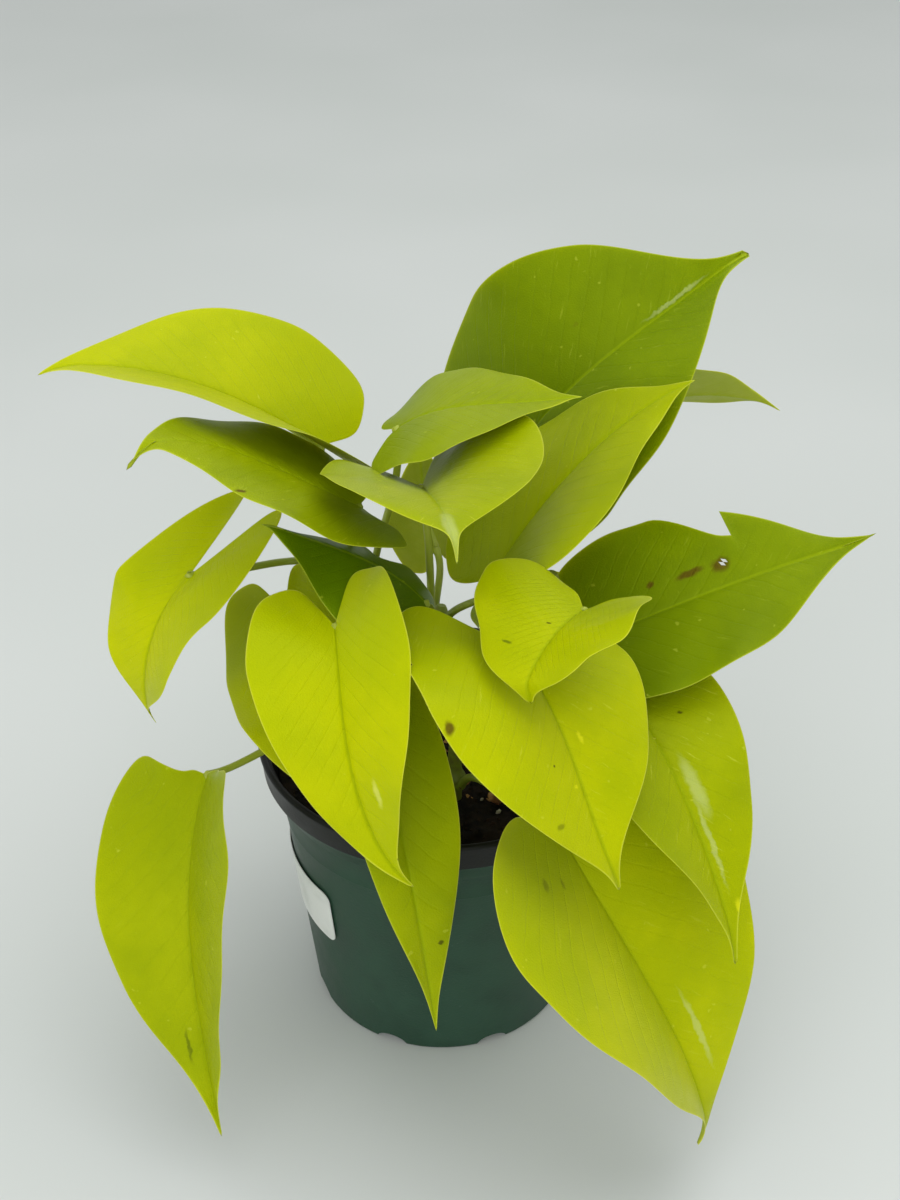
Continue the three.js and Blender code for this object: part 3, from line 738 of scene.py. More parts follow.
def blade_finish(name, skin, blemish_and_sheen, tone, flecks=0.05, marks=()):
    """One blade's own material: the shared skin in its tone, with its marks over it."""
    made, tree, shader = material("blade_" + name)
    outputs = placed(tree, skin, {
        "Body": between(YOUNG, GREEN, tone),
        "Deep": between(YOUNG_DEEP, GREEN_DEEP, tone),
        "Pale": between(YOUNG_PALE, GREEN_PALE, tone),
        "Under": between(YOUNG_UNDER, GREEN_UNDER, tone),
        "Midrib": between(YOUNG_MIDRIB, GREEN_MIDRIB, tone),
        "Veins": VEIN_COUNT,
        "Flecks": flecks,
    })
    colour = outputs["Color"]
    for kind, across, along, half_width, half_length in marks:
        tint, strength = TINTS[kind]
        colour = placed(tree, blemish_and_sheen, {
            "Color": colour, "Tint": tint, "Strength": strength,
            "Place": (0.5 + across, along, 0), "Size": (half_width, half_length, 1),
        })["Color"]
    join(tree, colour, shader, "Base Color")
    join(tree, outputs["Roughness"], shader, "Roughness")
    bumped(tree, shader, outputs["Height"], 0.12 * MM)
    preset(shader, Subsurface_Weight=0.35, Subsurface_Radius=(1.0, 0.9, 0.12),
           Subsurface_Scale=1.6 * MM, Specular_IOR_Level=0.25, Specular_Tint=LEAF_SHEEN)
    return made


# ---- Stalks and cuttings ------------------------------------------------------

STALK_GIRTH = 1.15 * MM
STALK_STEPS = 60
RIB_STEPS = 24
RIB_REACH = 0.55  # how far along the blade the stalk runs on as its rib
RIB_SINK = 0.12 * MM
STALK_ROOT = 2.2 * MM  # how far a stalk runs on into its cutting
VINE_GIRTH = 2.0 * MM
VINE_STEPS = 70
VINE_JOINT = 0.32  # how far up each cutting a joint without a stalk lies


def stem_tree():
    """Gives lines with a girth a round, slightly uneven skin."""
    tree, given, result = geometry_tree(
        "stem", [("Sides", "NodeSocketInt", 20), ("Unevenness", NUMBER, 0.1 * MM),
                 ("Grain", NUMBER, 300.0), ("Finish", "NodeSocketMaterial", None)])
    girth = put(tree, "GeometryNodeInputNamedAttribute", {"Name": "girth"}, data_type="FLOAT")
    line = put(tree, "GeometryNodeMeshToCurve", {"Mesh": given["Geometry"]})
    ring = put(tree, "GeometryNodeCurvePrimitiveCircle",
               {"Resolution": given["Sides"], "Radius": 1.0})
    skin = put(tree, "GeometryNodeCurveToMesh",
               {"Curve": line.outputs["Curve"], "Profile Curve": ring.outputs["Curve"],
                "Scale": girth.outputs["Attribute"], "Fill Caps": True})
    lumps = put(tree, "ShaderNodeTexNoise", {"Scale": given["Grain"], "Detail": 2.0})
    height = calc(tree, "MULTIPLY", calc(tree, "SUBTRACT", lumps.outputs["Fac"], 0.5),
                  given["Unevenness"])
    normal = put(tree, "GeometryNodeInputNormal").outputs["Normal"]
    offset = vector_calc(tree, "SCALE", normal, scale=height)
    moved = put(tree, "GeometryNodeSetPosition",
                {"Geometry": skin.outputs["Mesh"], "Offset": offset})
    shaded = put(tree, "GeometryNodeSetShadeSmooth", {"Geometry": moved.outputs["Geometry"]})
    real = put(tree, "GeometryNodeRealizeInstances", {"Geometry": shaded.outputs["Geometry"]})
    done = put(tree, "GeometryNodeSetMaterial",
               {"Geometry": real.outputs["Geometry"], "Material": given["Finish"]})
    tree.links.new(done.outputs["Geometry"], result.inputs["Geometry"])
    return tree


def lines_mesh(name, lines):
    """Open lines as one mesh of edges: each is points, their girths and their shares."""
    points, edges, girths, shares = [], [], [], []
    for line, girth, share in lines:
        first = len(points)
        points.extend(line)
        girths.extend(girth)
        shares.extend(share)
        edges.extend((first + i, first + i + 1) for i in range(len(line) - 1))
    mesh = bpy.data.meshes.new(name)
    mesh.from_pydata(points, edges, [])
    store(mesh, "girth", girths)
    store(mesh, "along", shares)
    return mesh


def stalk_lines(plain, sheet):
    """A leaf stalk from inside its cutting to the blade, and on along the midrib."""
    start = plain[0] + unit(plain[0] - plain[1]) * STALK_ROOT
    share = np.linspace(0, 1, STALK_STEPS + 1)
    line = through(np.array([start, *plain, sheet[0, 0]]), share * (len(plain) + 1))
    sheath = 0.55 * np.exp(-((share / 0.07) ** 2))
    knee = 0.22 * np.exp(-(((share - 0.95) / 0.045) ** 2))
    girth = STALK_GIRTH * (1 + sheath + knee - 0.12 * share)
    girth[-3:] *= (0.98, 0.94, 0.88)
    run = np.linspace(0, 1, RIB_STEPS + 1)
    rib = STALK_GIRTH * (0.86 - 0.76 * run ** 0.7)
    rows = run * RIB_REACH * (len(sheet) - 1)
    middle = sheet.shape[1] // 2
    up = unit(through(sheet_normals(sheet)[:, middle], rows))
    under = through(sheet[:, middle], rows) - up * (rib + RIB_SINK)[:, None]
    line = np.concatenate([line[:-1], under[1:]])
    girth = np.concatenate([girth[:-1], rib[1:]])
    share = np.concatenate([share[:-1], np.ones(RIB_STEPS)])
    return line, girth, share


def vine_lines(plain, joints, seed):
    """A cutting with a swelling at each joint, a cut top and short root nubs."""
    share = np.linspace(0, 1, VINE_STEPS + 1)
    line = through(plain, share * (len(plain) - 1))
    girth = np.full(len(share), VINE_GIRTH)
    for joint in joints:
        girth *= 1 + 0.28 * np.exp(-(((share - joint) / 0.03) ** 2))
        girth *= 1 - 0.05 * np.exp(-(((share - joint - 0.06) / 0.03) ** 2))
    girth[-2:] *= (0.92, 0.7)
    lines = [(line, girth, share)]
    for k, joint in enumerate(joints):
        spot = through(plain, np.array([joint * (len(plain) - 1)]))[0]
        angle = seed * 1.7 + k * 2.4
        away = np.array([math.cos(angle), math.sin(angle), -0.25])
        nub = np.array([spot + away * step * MM for step in (1.2, 2.0, 2.8, 3.6, 4.2)])
        lines.append((nub, np.array([0.75, 0.7, 0.6, 0.42, 0.15]) * MM, np.full(5, -1.0)))
    return lines


def stalk_finish(grain):
    """Green at the cutting and yellower towards the blade."""
    made, tree, shader = material("stalk")
    along = attribute(tree, "along")
    outputs = placed(tree, grain, {"Coarse": 240.0, "Fine": 1800.0})
    colour = blend_colours(tree, fade(tree, along, 0.0, 0.55), linear(116, 134, 30),
                           linear(162, 176, 52))
    colour = blend_colours(tree, fade(tree, outputs["Value"], 0.4, 0.7, 0.0, 0.4), colour,
                           linear(176, 184, 78))
    join(tree, colour, shader, "Base Color")
    bumped(tree, shader, outputs["Height"], 0.08 * MM)
    preset(shader, Roughness=0.42, Subsurface_Weight=0.2, Subsurface_Radius=(1.0, 0.9, 0.2),
           Subsurface_Scale=1.0 * MM)
    return made


def vine_finish(grain):
    """Green with streaks of bark, and brown root nubs."""
    made, tree, shader = material("vine")
    along = attribute(tree, "along")
    outputs = placed(tree, grain, {"Coarse": 300.0, "Fine": 2000.0})
    colour = blend_colours(tree, fade(tree, along, 0.1, 0.6), linear(96, 104, 34),
                           linear(138, 154, 44))
    bark = fade(tree, outputs["Value"], 0.5, 0.68, 0.0, 0.55)
    colour = blend_colours(tree, bark, colour, linear(104, 92, 48))
    nub = fade(tree, along, -0.2, -0.6)
    colour = blend_colours(tree, nub, colour, linear(92, 66, 38))
    join(tree, colour, shader, "Base Color")
    bumped(tree, shader, outputs["Height"], 0.2 * MM)
    preset(shader, Roughness=0.5)
    return made


# ---- Pot -----------------------------------------------------------------------

POT_SEGMENTS = 192
BASE_RADIUS = 40.2 * MM
BASE_RISE = 1.0 * MM  # how far the base's middle stands off the floor
BASE_FOOT = 8 * MM  # how far in from its edge the base rests on the floor
BASE_STEP = 9 * MM  # how far in from its edge the base has risen
RIM_BAND = 9 * MM
RIM_TAPER = 1.2 * MM
RIM_LIP = 2.2 * MM
RIM_STEP = 6 * MM
SHOULDER = 8 * MM
BASE_CHAMFER = 1.6 * MM
WALL = 1.2 * MM
MOULD_LINE_DROP = 8 * MM  # from the wall's top
MOULD_LINE_RELIEF = 0.22 * MM
DRAINS = 8
DRAIN_WIDTH = 10 * MM
DRAIN_HEIGHT = 3.4 * MM
DRAIN_DEPTH = 5 * MM
BLACK_RIM = 8.6 * MM  # how far down from the lip the rim is black


def arc(centre, radius, start, end, steps=8):
    """Profile points on an arc, from one angle to another in degrees."""
    angles = np.radians(np.linspace(start, end, steps + 1))
    return [(centre[0] + radius * math.cos(a), centre[1] + radius * math.sin(a)) for a in angles]


def turned(name, profile, segments):
    """A closed solid of revolution. The profile runs up the outside, axis to axis."""
    shape = bmesh.new()
    rings = []
    for radius, height in profile:
        if radius < 1e-6:
            rings.append([shape.verts.new((0, 0, height))])
            continue
        angles = (2 * math.pi * k / segments for k in range(segments))
        rings.append([shape.verts.new((radius * math.cos(a), radius * math.sin(a), height))
                      for a in angles])
    for lower, upper in zip(rings, rings[1:]):
        for k in range(segments):
            ring = [lower[k % len(lower)], lower[(k + 1) % segments % len(lower)],
                    upper[(k + 1) % segments % len(upper)], upper[k % len(upper)]]
            shape.faces.new(list(dict.fromkeys(ring)))
    return finished(shape, name)


def pot_profile():
    """Half the pot's section, up the outside, over the lip and down the inside."""
    rim, _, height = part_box("pot")[1]
    base = BASE_RADIUS
    foot = height - RIM_BAND
    wall_top = foot - SHOULDER
    wall_radius, foot_radius = rim - RIM_STEP, rim - RIM_TAPER
    lip = RIM_LIP / 2
    slope = (wall_radius - base) / (wall_top - BASE_CHAMFER)
    line = wall_top - MOULD_LINE_DROP
    line_radius = base + slope * (line - BASE_CHAMFER)
    raised = line_radius + MOULD_LINE_RELIEF
    return [
        # the base and its rounded corner
        (0, BASE_RISE), (base - BASE_STEP, BASE_RISE), (base - BASE_FOOT, 0.0),
        (base - BASE_CHAMFER, 0.0),
        *arc((base - BASE_CHAMFER, BASE_CHAMFER), BASE_CHAMFER, -80, 0, 6),
        # the wall with its mould line
        (line_radius, line), (raised, line + 0.35 * MM), (raised, line + 0.9 * MM),
        (base + slope * (wall_top - BASE_CHAMFER), wall_top),
        # the shoulder, eased into the wall and the rim band
        (wall_radius + 1.1 * MM, wall_top + 1.6 * MM),
        (foot_radius - 1.3 * MM, foot - 1.2 * MM),
        (foot_radius - 0.2 * MM, foot - 0.3 * MM),
        (foot_radius + 0.15 * MM, foot + 0.5 * MM),
        # the rim band and its lip
        (rim - 0.5 * MM, height - 2.6 * MM),
        *arc((rim - lip, height - lip), lip, 0, 180, 14),
        (rim - RIM_LIP - 0.1 * MM, height - 2.4 * MM),
        (rim - RIM_LIP - 0.9 * MM, height - 3.0 * MM),
        # the same shapes inside, a wall's thickness in
        (foot_radius - WALL - 0.9 * MM, foot + 1.2 * MM),
        (foot_radius - WALL - 1.4 * MM, foot - 0.4 * MM),
        (wall_radius - WALL + 0.6 * MM, wall_top + 1.4 * MM),
        (wall_radius - WALL, wall_top),
        (base - WALL, BASE_CHAMFER + WALL),
        (base - WALL - BASE_CHAMFER, BASE_RISE + WALL), (0, BASE_RISE + WALL),
    ]


def drain_cutter():
    """The half-round slots in the corner of the pot's base, as one tool."""
    shape = bmesh.new()
    flatten = DRAIN_HEIGHT / (DRAIN_WIDTH / 2)
    for k in range(DRAINS):
        made = bmesh.ops.create_cone(shape, segments=32, radius1=DRAIN_WIDTH / 2,
                                     radius2=DRAIN_WIDTH / 2, depth=DRAIN_DEPTH * 2, cap_ends=True)
        angle = (k + 0.5) / DRAINS * 2 * math.pi
        for vertex in made["verts"]:
            across, up, out = vertex.co.x, vertex.co.y * flatten, vertex.co.z + BASE_RADIUS
            vertex.co = (out * math.cos(angle) - across * math.sin(angle),
                         out * math.sin(angle) + across * math.cos(angle), up)
    bmesh.ops.recalc_face_normals(shape, faces=shape.faces)
    return finished(shape, "drains")


def make_pot(finish):
    """The pot, turned from its section and cut by the drain slots."""
    holder = added("pot_blank", turned("pot_blank", pot_profile(), POT_SEGMENTS))
    tool = added("drains", drain_cutter())
    cut = holder.modifiers.new("drains", "BOOLEAN")
    cut.object = tool
    cut.operation = "DIFFERENCE"
    cut.solver = "EXACT"
    mesh = evaluated(holder, "pot_skin")
    bpy.data.objects.remove(tool)
    smooth(mesh, 32)
    return piece("nursery_pot", mesh, finish, "pot", "pot")


def pot_finish(grain):
    """Green outside below the rim, black on the rim and inside."""
    made, tree, shader = material("pot")
    place = object_place(tree)
    outputs = placed(tree, grain, {"Coarse": 60.0, "Fine": 1400.0})
    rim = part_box("pot")[1].z
    green = blend_colours(tree, fade(tree, outputs["Value"], 0.35, 0.65), linear(34, 64, 48),
                          linear(43, 74, 57))
    dust = fade(tree, speckle(tree, place, 900.0, 3.0, 0.7), 0.66, 0.74, 0.0, 0.3)
    green = blend_colours(tree, dust, green, linear(104, 122, 110))
    black = blend_colours(tree, fade(tree, outputs["Value"], 0.35, 0.7), linear(9, 10, 9),
                          linear(20, 21, 19))
    spot = parts(tree, place)
    outward = put(tree, "ShaderNodeCombineXYZ", {"X": spot["X"], "Y": spot["Y"]}).outputs[0]
    outward = vector_calc(tree, "NORMALIZE", outward)
    normal = put(tree, "ShaderNodeNewGeometry").outputs["Normal"]
    high = fade(tree, spot["Z"], rim - BLACK_RIM - 0.1 * MM, rim - BLACK_RIM + 0.1 * MM)
    inside = fade(tree, vector_calc(tree, "DOT_PRODUCT", outward, normal), 0.0, -0.2)
    dark = calc(tree, "MAXIMUM", high, inside)
    join(tree, blend_colours(tree, dark, green, black), shader, "Base Color")
    join(tree, fade(tree, outputs["Value"], 0.3, 0.7, 0.38, 0.5), shader, "Roughness")
    bumped(tree, shader, outputs["Height"], 0.12 * MM)
    preset(shader, Specular_IOR_Level=0.25)
    return made


# ---- Potting mix ----------------------------------------------------------------

SOIL_RINGS = 64
SOIL_SEGMENTS = 240
SOIL_TOP = 6 * MM  # the top's faces lie within this of the highest
SOIL_EDGE = 0.25 * MM  # how much narrower than the plain solid
LUMPS, LUMP_SIZE = 220.0, 0.9 * MM
CRUMBLE, CRUMBLE_SIZE = 700.0, 0.45 * MM


def soil_top():
    """Reads the height of the plain solid's top at a place."""
    plain = joined("soil")
    tree = BVHTree.FromBMesh(plain)
    plain.free()
    low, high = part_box("soil")

    def height(x, y):
        hit = tree.ray_cast(Vector((x, y, high.z + 10 * MM)), Vector((0, 0, -1)))[0]
        return hit.z if hit is not None and hit.z > high.z - SOIL_TOP else None
    return height, low, high


def make_soil(finish):
    """The mix, domed like the plain solid, with a lumpy top that is flatter at the wall."""
    height, low, high = soil_top()
    edge = high.x - SOIL_EDGE
    profile = [(0, low.z), (BASE_RADIUS - 4 * MM, low.z), (BASE_RADIUS - 2 * MM, low.z + 3 * MM)]
    profile.append((edge - 3.2 * MM, high.z - 11 * MM))
    rings = np.linspace(edge, 0, SOIL_RINGS)
    profile.extend((radius, high.z - 2.2 * MM) for radius in rings)
    mesh = turned("soil_skin", profile, SOIL_SEGMENTS)
    last = high.z - 2.0 * MM
    for vertex in mesh.vertices:
        spot = vertex.co
        if spot.z < high.z - 5 * MM:
            continue
        level = height(spot.x, spot.y)
        last = level if level is not None else last
        rough = noise.fractal(spot * LUMPS, 1.0, 2.0, 4) * LUMP_SIZE
        fine = noise.fractal(spot * CRUMBLE, 1.0, 2.0, 3) * CRUMBLE_SIZE
        out = math.hypot(spot.x, spot.y) / edge
        spot.z = last + (rough + fine) * (1 - 0.6 * out ** 8) - 0.3 * MM
    smooth(mesh)
    return piece("potting_mix", mesh, finish, "soil", "soil")


CRUMB_FACING = 0.4  # crumbs lie on faces whose normal points up by more than this
CRUMB_RAGGED = 1.6


def crumb_tree():
    """Scatters small ragged lumps over the upward faces of a mesh."""
    tree, given, result = geometry_tree(
        "crumbs",
        [("Density", NUMBER, 1000.0), ("Seed", "NodeSocketInt", 1), ("Smallest", NUMBER, 0.5 * MM),
         ("Largest", NUMBER, 1.5 * MM), ("Flatness", NUMBER, 0.7), ("Sink", NUMBER, 0.3 * MM),
         ("Fineness", "NodeSocketInt", 2), ("Reach", NUMBER, 40 * MM),
         ("Finish", "NodeSocketMaterial", None)])
    face = put(tree, "GeometryNodeInputNormal").outputs["Normal"]
    spot = put(tree, "GeometryNodeInputPosition").outputs["Position"]
    out = vector_calc(tree, "LENGTH", vector_calc(tree, "MULTIPLY", spot, (1, 1, 0)))

    def more(value, limit):
        return put(tree, "FunctionNodeCompare", {0: value, 1: limit}, data_type="FLOAT",
                   operation="GREATER_THAN").outputs["Result"]

    chosen = more(parts(tree, face)["Z"], CRUMB_FACING)
    for other in (more(parts(tree, spot)["Z"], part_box("soil")[1].z - SOIL_TOP),
                  more(given["Reach"], out)):
        chosen = put(tree, "FunctionNodeBooleanMath", {0: chosen, 1: other},
                     operation="AND").outputs[0]
    points = put(tree, "GeometryNodeDistributePointsOnFaces",
                 {"Mesh": given["Geometry"], "Selection": chosen, "Density": given["Density"],
                  "Seed": given["Seed"]})
    lump = put(tree, "GeometryNodeMeshIcoSphere",
               {"Radius": 1.0, "Subdivisions": given["Fineness"]})
    dents = put(tree, "ShaderNodeTexNoise", {"Scale": 1.3, "Detail": 1.0}).outputs["Color"]
    lump = put(tree, "GeometryNodeSetPosition",
               {"Geometry": lump.outputs["Mesh"],
                "Offset": ragged(tree, dents, CRUMB_RAGGED)}).outputs["Geometry"]
    flat = put(tree, "ShaderNodeCombineXYZ", {"X": 1.0, "Y": 0.75, "Z": given["Flatness"]})
    lump = put(tree, "GeometryNodeTransform",
               {"Geometry": lump, "Scale": flat.outputs[0]}).outputs["Geometry"]

    def random(kind, low, high, step):
        seed = put(tree, "ShaderNodeMath", {0: given["Seed"], 1: float(step)}, operation="ADD")
        node = put(tree, "FunctionNodeRandomValue", {"Seed": seed.outputs[0]}, data_type=kind)
        first = 0 if kind == "FLOAT_VECTOR" else 2
        for index, value in ((first, low), (first + 1, high)):
            if isinstance(value, bpy.types.NodeSocket):
                tree.links.new(value, node.inputs[index])
            else:
                node.inputs[index].default_value = value
        return node.outputs[0 if kind == "FLOAT_VECTOR" else 1]

    turn = random("FLOAT_VECTOR", (-0.5, -0.5, 0.0), (0.5, 0.5, 2 * math.pi), 11)
    size = random("FLOAT", given["Smallest"], given["Largest"], 23)
    shape = random("FLOAT_VECTOR", (0.7, 0.7, 0.7), (1.3, 1.3, 1.3), 37)
    scale = vector_calc(tree, "SCALE", shape, scale=size)
    copies = put(tree, "GeometryNodeInstanceOnPoints",
                 {"Points": points.outputs["Points"], "Instance": lump, "Rotation": turn,
                  "Scale": scale}).outputs["Instances"]
    down = put(tree, "ShaderNodeCombineXYZ", {"Z": calc(tree, "MULTIPLY", given["Sink"], -1.0)})
    copies = put(tree, "GeometryNodeTranslateInstances",
                 {"Instances": copies, "Translation": down.outputs[0],
                  "Local Space": False}).outputs["Instances"]
    real = put(tree, "GeometryNodeRealizeInstances", {"Geometry": copies}).outputs["Geometry"]
    done = put(tree, "GeometryNodeSetMaterial", {"Geometry": real, "Material": given["Finish"]})
    tree.links.new(done.outputs["Geometry"], result.inputs["Geometry"])
    return tree


CRUMB_MARGIN = 3 * MM  # between the crumbs and the pot
CRUMBS = {
    "peat_crumbs": dict(Density=170000.0, Seed=3, Smallest=0.25 * MM, Largest=0.95 * MM,
                        Flatness=0.8, Sink=0.1 * MM, Fineness=1),
    "bark_bits": dict(Density=22000.0, Seed=8, Smallest=0.5 * MM, Largest=2.6 * MM,
                      Flatness=0.55, Sink=0.2 * MM, Fineness=2),
    "perlite": dict(Density=4500.0, Seed=15, Smallest=0.4 * MM, Largest=1.2 * MM,
                    Flatness=0.9, Sink=0.1 * MM, Fineness=2),
}


CRUMB_LOOKS = {  # dark and light colours, and roughness
    "peat": (linear(10, 7, 5), linear(38, 27, 18), 0.95),
    "peat_crumbs": (linear(14, 9, 6), linear(52, 36, 24), 0.95),
    "bark_bits": (linear(104, 66, 32), linear(204, 158, 98), 0.85),
    "perlite": (linear(168, 160, 140), linear(224, 220, 206), 0.9),
}


def crumb_finish(name, crumb):
    """The material of the mix or of one kind of crumb in it."""
    dark, light, roughness = CRUMB_LOOKS[name]
    made, tree, shader = material(name)
    outputs = placed(tree, crumb, {"Dark": dark, "Light": light})
    join(tree, outputs["Color"], shader, "Base Color")
    bumped(tree, shader, outputs["Height"], 0.2 * MM)
    preset(shader, Roughness=roughness, Specular_IOR_Level=0.25)
    return made


def make_crumbs(soil_piece, crumb):
    """Peat, bark and perlite, scattered over the mix."""
    tree = crumb_tree()
    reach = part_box("soil")[1].x - CRUMB_MARGIN
    for name, values in CRUMBS.items():
        finish = crumb_finish(name, crumb)
        mesh = grown(name, soil_piece.data.copy(), tree,
                     {**values, "Reach": reach, "Finish": finish})
        smooth(mesh, 50)
        piece(name, mesh, finish, "soil", "soil")


# ---- Label ------------------------------------------------------------------------

LABEL_CORNER = 3 * MM
LABEL_STEPS = 48
LABEL_LIFT = 0.12 * MM  # half its thickness


def make_label(finish):
    """A blank rounded label bent round the pot's cone."""
    low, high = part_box("label")
    plain = joined("label")
    spots = np.array([v.co for v in plain.verts])
    plain.free()
    angles = np.arctan2(spots[:, 1], -spots[:, 0])
    middle_angle = (angles.max() + angles.min()) / 2
    half_angle = (angles.max() - angles.min()) / 2
    middle_height = (low.z + high.z) / 2
    half_height = (high.z - low.z) / 2
    at_middle = np.hypot(spots[:, 0], spots[:, 1])
    slope, start = np.polyfit(spots[:, 2], at_middle, 1)
    half_width = half_angle * (start + slope * middle_height)
    shape = bmesh.new()
    rows = LABEL_STEPS // 2
    sheets = []
    for lift in (-LABEL_LIFT, LABEL_LIFT):
        sheet = []
        for column in range(LABEL_STEPS + 1):
            across = -math.cos(column / LABEL_STEPS * math.pi) * half_width
            inward = max(0.0, abs(across) - (half_width - LABEL_CORNER))
            corner = math.sqrt(max(LABEL_CORNER ** 2 - inward ** 2, 0.0))
            reach = half_height - LABEL_CORNER + corner
            strip = []
            for row in range(rows + 1):
                up = -math.cos(row / rows * math.pi) * reach
                radius = start + slope * (middle_height + up) + lift
                angle = middle_angle + across / half_width * half_angle
                strip.append(shape.verts.new((-radius * math.cos(angle), radius * math.sin(angle),
                                              middle_height + up)))
            sheet.append(strip)
        sheets.append(sheet)
    inner, outer = sheets
    for column in range(LABEL_STEPS):
        for row in range(rows):
            for sheet in sheets:
                shape.faces.new((sheet[column][row], sheet[column + 1][row],
                                 sheet[column + 1][row + 1], sheet[column][row + 1]))
        for row in (0, rows):
            shape.faces.new((inner[column][row], inner[column + 1][row],
                             outer[column + 1][row], outer[column][row]))
    for column in (0, LABEL_STEPS):
        for row in range(rows):
            shape.faces.new((inner[column][row], inner[column][row + 1],
                             outer[column][row + 1], outer[column][row]))
    bmesh.ops.recalc_face_normals(shape, faces=shape.faces)
    mesh = finished(shape, "label_skin")
    smooth(mesh, 40)
    return piece("blank_label", mesh, finish, "label", "label")


def label_finish(grain):
    """Plain white, a little uneven."""
    made, tree, shader = material("label")
    outputs = placed(tree, grain, {"Coarse": 90.0, "Fine": 1600.0})
    colour = blend_colours(tree, fade(tree, outputs["Value"], 0.4, 0.7), linear(236, 238, 234),
                           linear(222, 225, 220))
    join(tree, colour, shader, "Base Color")
    join(tree, fade(tree, outputs["Value"], 0.3, 0.7, 0.42, 0.55), shader, "Roughness")
    bumped(tree, shader, outputs["Height"], 0.05 * MM)
    return made


# ---- Floor, light and camera --------------------------------------------------------


FLOOR_REACH = 60.0


def make_floor():
    """A plain pale floor that runs past every view's edge."""
    mesh = bpy.data.meshes.new("floor")
    signs = ((-1, -1), (1, -1), (1, 1), (-1, 1))
    corners = [(x * FLOOR_REACH, y * FLOOR_REACH, 0) for x, y in signs]
    mesh.from_pydata(corners, [], [(0, 1, 2, 3)])
    floor = added("floor", mesh)
    made, tree, shader = material("floor")
    value = speckle(tree, object_place(tree), 3.0, 2.0, 0.5)
    colour = blend_colours(tree, fade(tree, value, 0.3, 0.7), linear(205, 210, 207),
                           linear(211, 215, 213))
    join(tree, colour, shader, "Base Color")
    preset(shader, Roughness=0.6)
    mesh.materials.append(made)


def area_light(name, place, target, size, power, colour):
    """A round studio lamp, facing its target."""
    data = bpy.data.lights.new(name, "AREA")
    data.shape = "DISK"
    data.size = size
    data.energy = power
    data.color = colour
    lamp = added(name, data)
    lamp.location = place
    lamp.rotation_mode = "QUATERNION"
    lamp.rotation_quaternion = (Vector(target) - Vector(place)).to_track_quat("-Z", "Y")


def make_lights():
    """A lamp above, a lamp in front and an even pale sky."""
    middle = (0.0, 0.0, 0.12)
    area_light("key", (0.18, 0.05, 1.2), middle, size=1.3, power=6.4, colour=(1.0, 0.99, 0.97))
    area_light("fill", (-0.3, -1.15, 0.75), middle, size=1.3, power=7.0, colour=(0.99, 0.99, 1.0))
    world = bpy.data.worlds.new("studio")
    bpy.context.scene.world = world
    world.use_nodes = True
    sky = world.node_tree.nodes["Background"]
    sky.inputs["Color"].default_value = (0.95, 0.97, 0.96, 1.0)
    sky.inputs["Strength"].default_value = 0.66


CAMERA_TARGET = Vector((0.0025, 0.0, 0.1375))
CAMERA_DISTANCE = 0.467
CAMERA_ELEVATION = math.radians(33)
CAMERA_LENS = 49.95
CAMERA_SENSOR = 36.0


def make_camera():
    """Looks down at the plant from the front."""
    data = bpy.data.cameras.new("camera")
    data.lens = CAMERA_LENS
    data.sensor_width = CAMERA_SENSOR
    camera = added("camera", data)
    back = Vector((0, -math.cos(CAMERA_ELEVATION), math.sin(CAMERA_ELEVATION)))
    camera.location = CAMERA_TARGET + back * CAMERA_DISTANCE
    camera.rotation_mode = "QUATERNION"
    camera.rotation_quaternion = (-back).to_track_quat("-Z", "Y")
    bpy.context.scene.camera = camera


# ---- The plant ------------------------------------------------------------------------


def distances(line, spot):
    return np.linalg.norm(line - spot, axis=1)


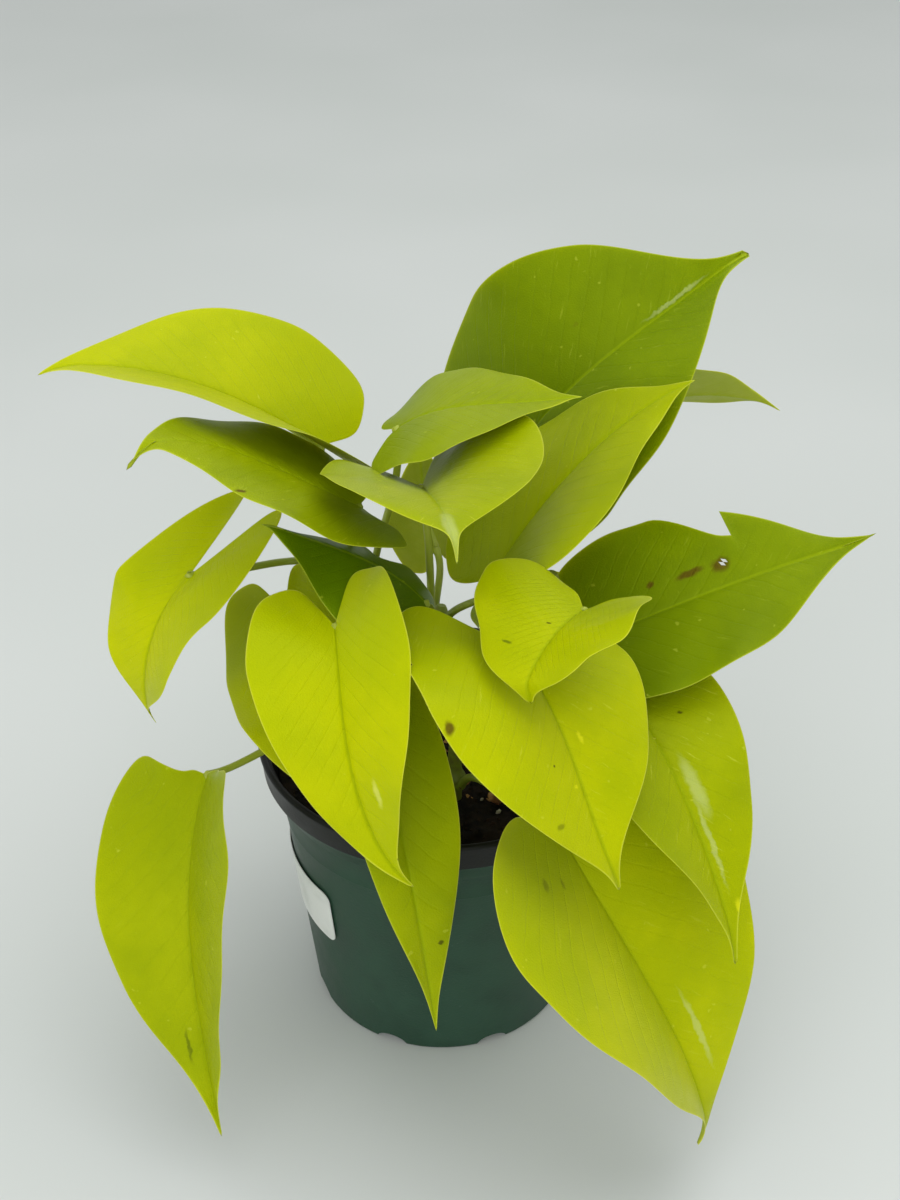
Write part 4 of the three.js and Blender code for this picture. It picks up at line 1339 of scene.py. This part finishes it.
def nearest_vine(spot, vines):
    """How far the nearest cutting is from a place, its name, and how far up it that is."""
    gap, name = min((distances(line, spot).min(), name) for name, line in vines.items())
    fine = through(vines[name], np.linspace(0, len(vines[name]) - 1, 101))
    return gap, name, int(distances(fine, spot).argmin()) / 100


def make_plant(grain):
    """Every blade with its stalk, and the cuttings, with a joint wherever a stalk starts."""
    skin, blemish_and_sheen, stems = blade_group(), blemish_and_sheen_group(), stem_tree()
    stalk_skin, vine_skin = stalk_finish(grain), vine_finish(grain)
    vines = {}
    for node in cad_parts:
        if node.startswith("vine_"):
            line = tube_line(node)
            vines[node] = line if line[0][2] < line[-1][2] else line[::-1]
    joints = {node: [VINE_JOINT] for node in vines}
    for number, (name, given) in enumerate(BLADES.items()):
        plain = tube_line("stalk_" + name)
        if nearest_vine(plain[-1], vines)[0] < nearest_vine(plain[0], vines)[0]:
            plain = plain[::-1]
        _, vine, share = nearest_vine(plain[0], vines)
        joints[vine].append(share)
        sheet = blade_sheet(name, plain[-1])
        shape = {key: value for key, value in given.items() if key in OUTLINE}
        looks = {key: value for key, value in given.items() if key not in OUTLINE}
        mesh = blade_mesh("blade_" + name, sheet, number, **shape)
        finish = blade_finish(name, skin, blemish_and_sheen, **looks)
        piece("blade_" + name, mesh, finish, "leaf", "leaf_" + name)
        line = stalk_lines(plain, sheet)
        tube = grown("petiole_" + name, lines_mesh("line", [line]), stems,
                     {"Sides": 18, "Unevenness": 0.12 * MM, "Grain": 260.0, "Finish": stalk_skin})
        piece("petiole_" + name, tube, stalk_skin, "stalk", "stalk_" + name)
    for number, (node, line) in enumerate(vines.items()):
        name = node.replace("vine_", "stem_")
        lines = vine_lines(line, sorted(joints[node]), number)
        tube = grown(name, lines_mesh("line", lines), stems,
                     {"Sides": 20, "Unevenness": 0.35 * MM, "Grain": 320.0, "Finish": vine_skin})
        piece(name, tube, vine_skin, "vine", node)


grain = grain_group()
make_plant(grain)
make_pot(pot_finish(grain))
crumb = crumb_group()
make_crumbs(make_soil(crumb_finish("peat", crumb)), crumb)
make_label(label_finish(grain))
make_floor()
make_lights()
make_camera()
bpy.context.scene.view_settings.view_transform = "Standard"
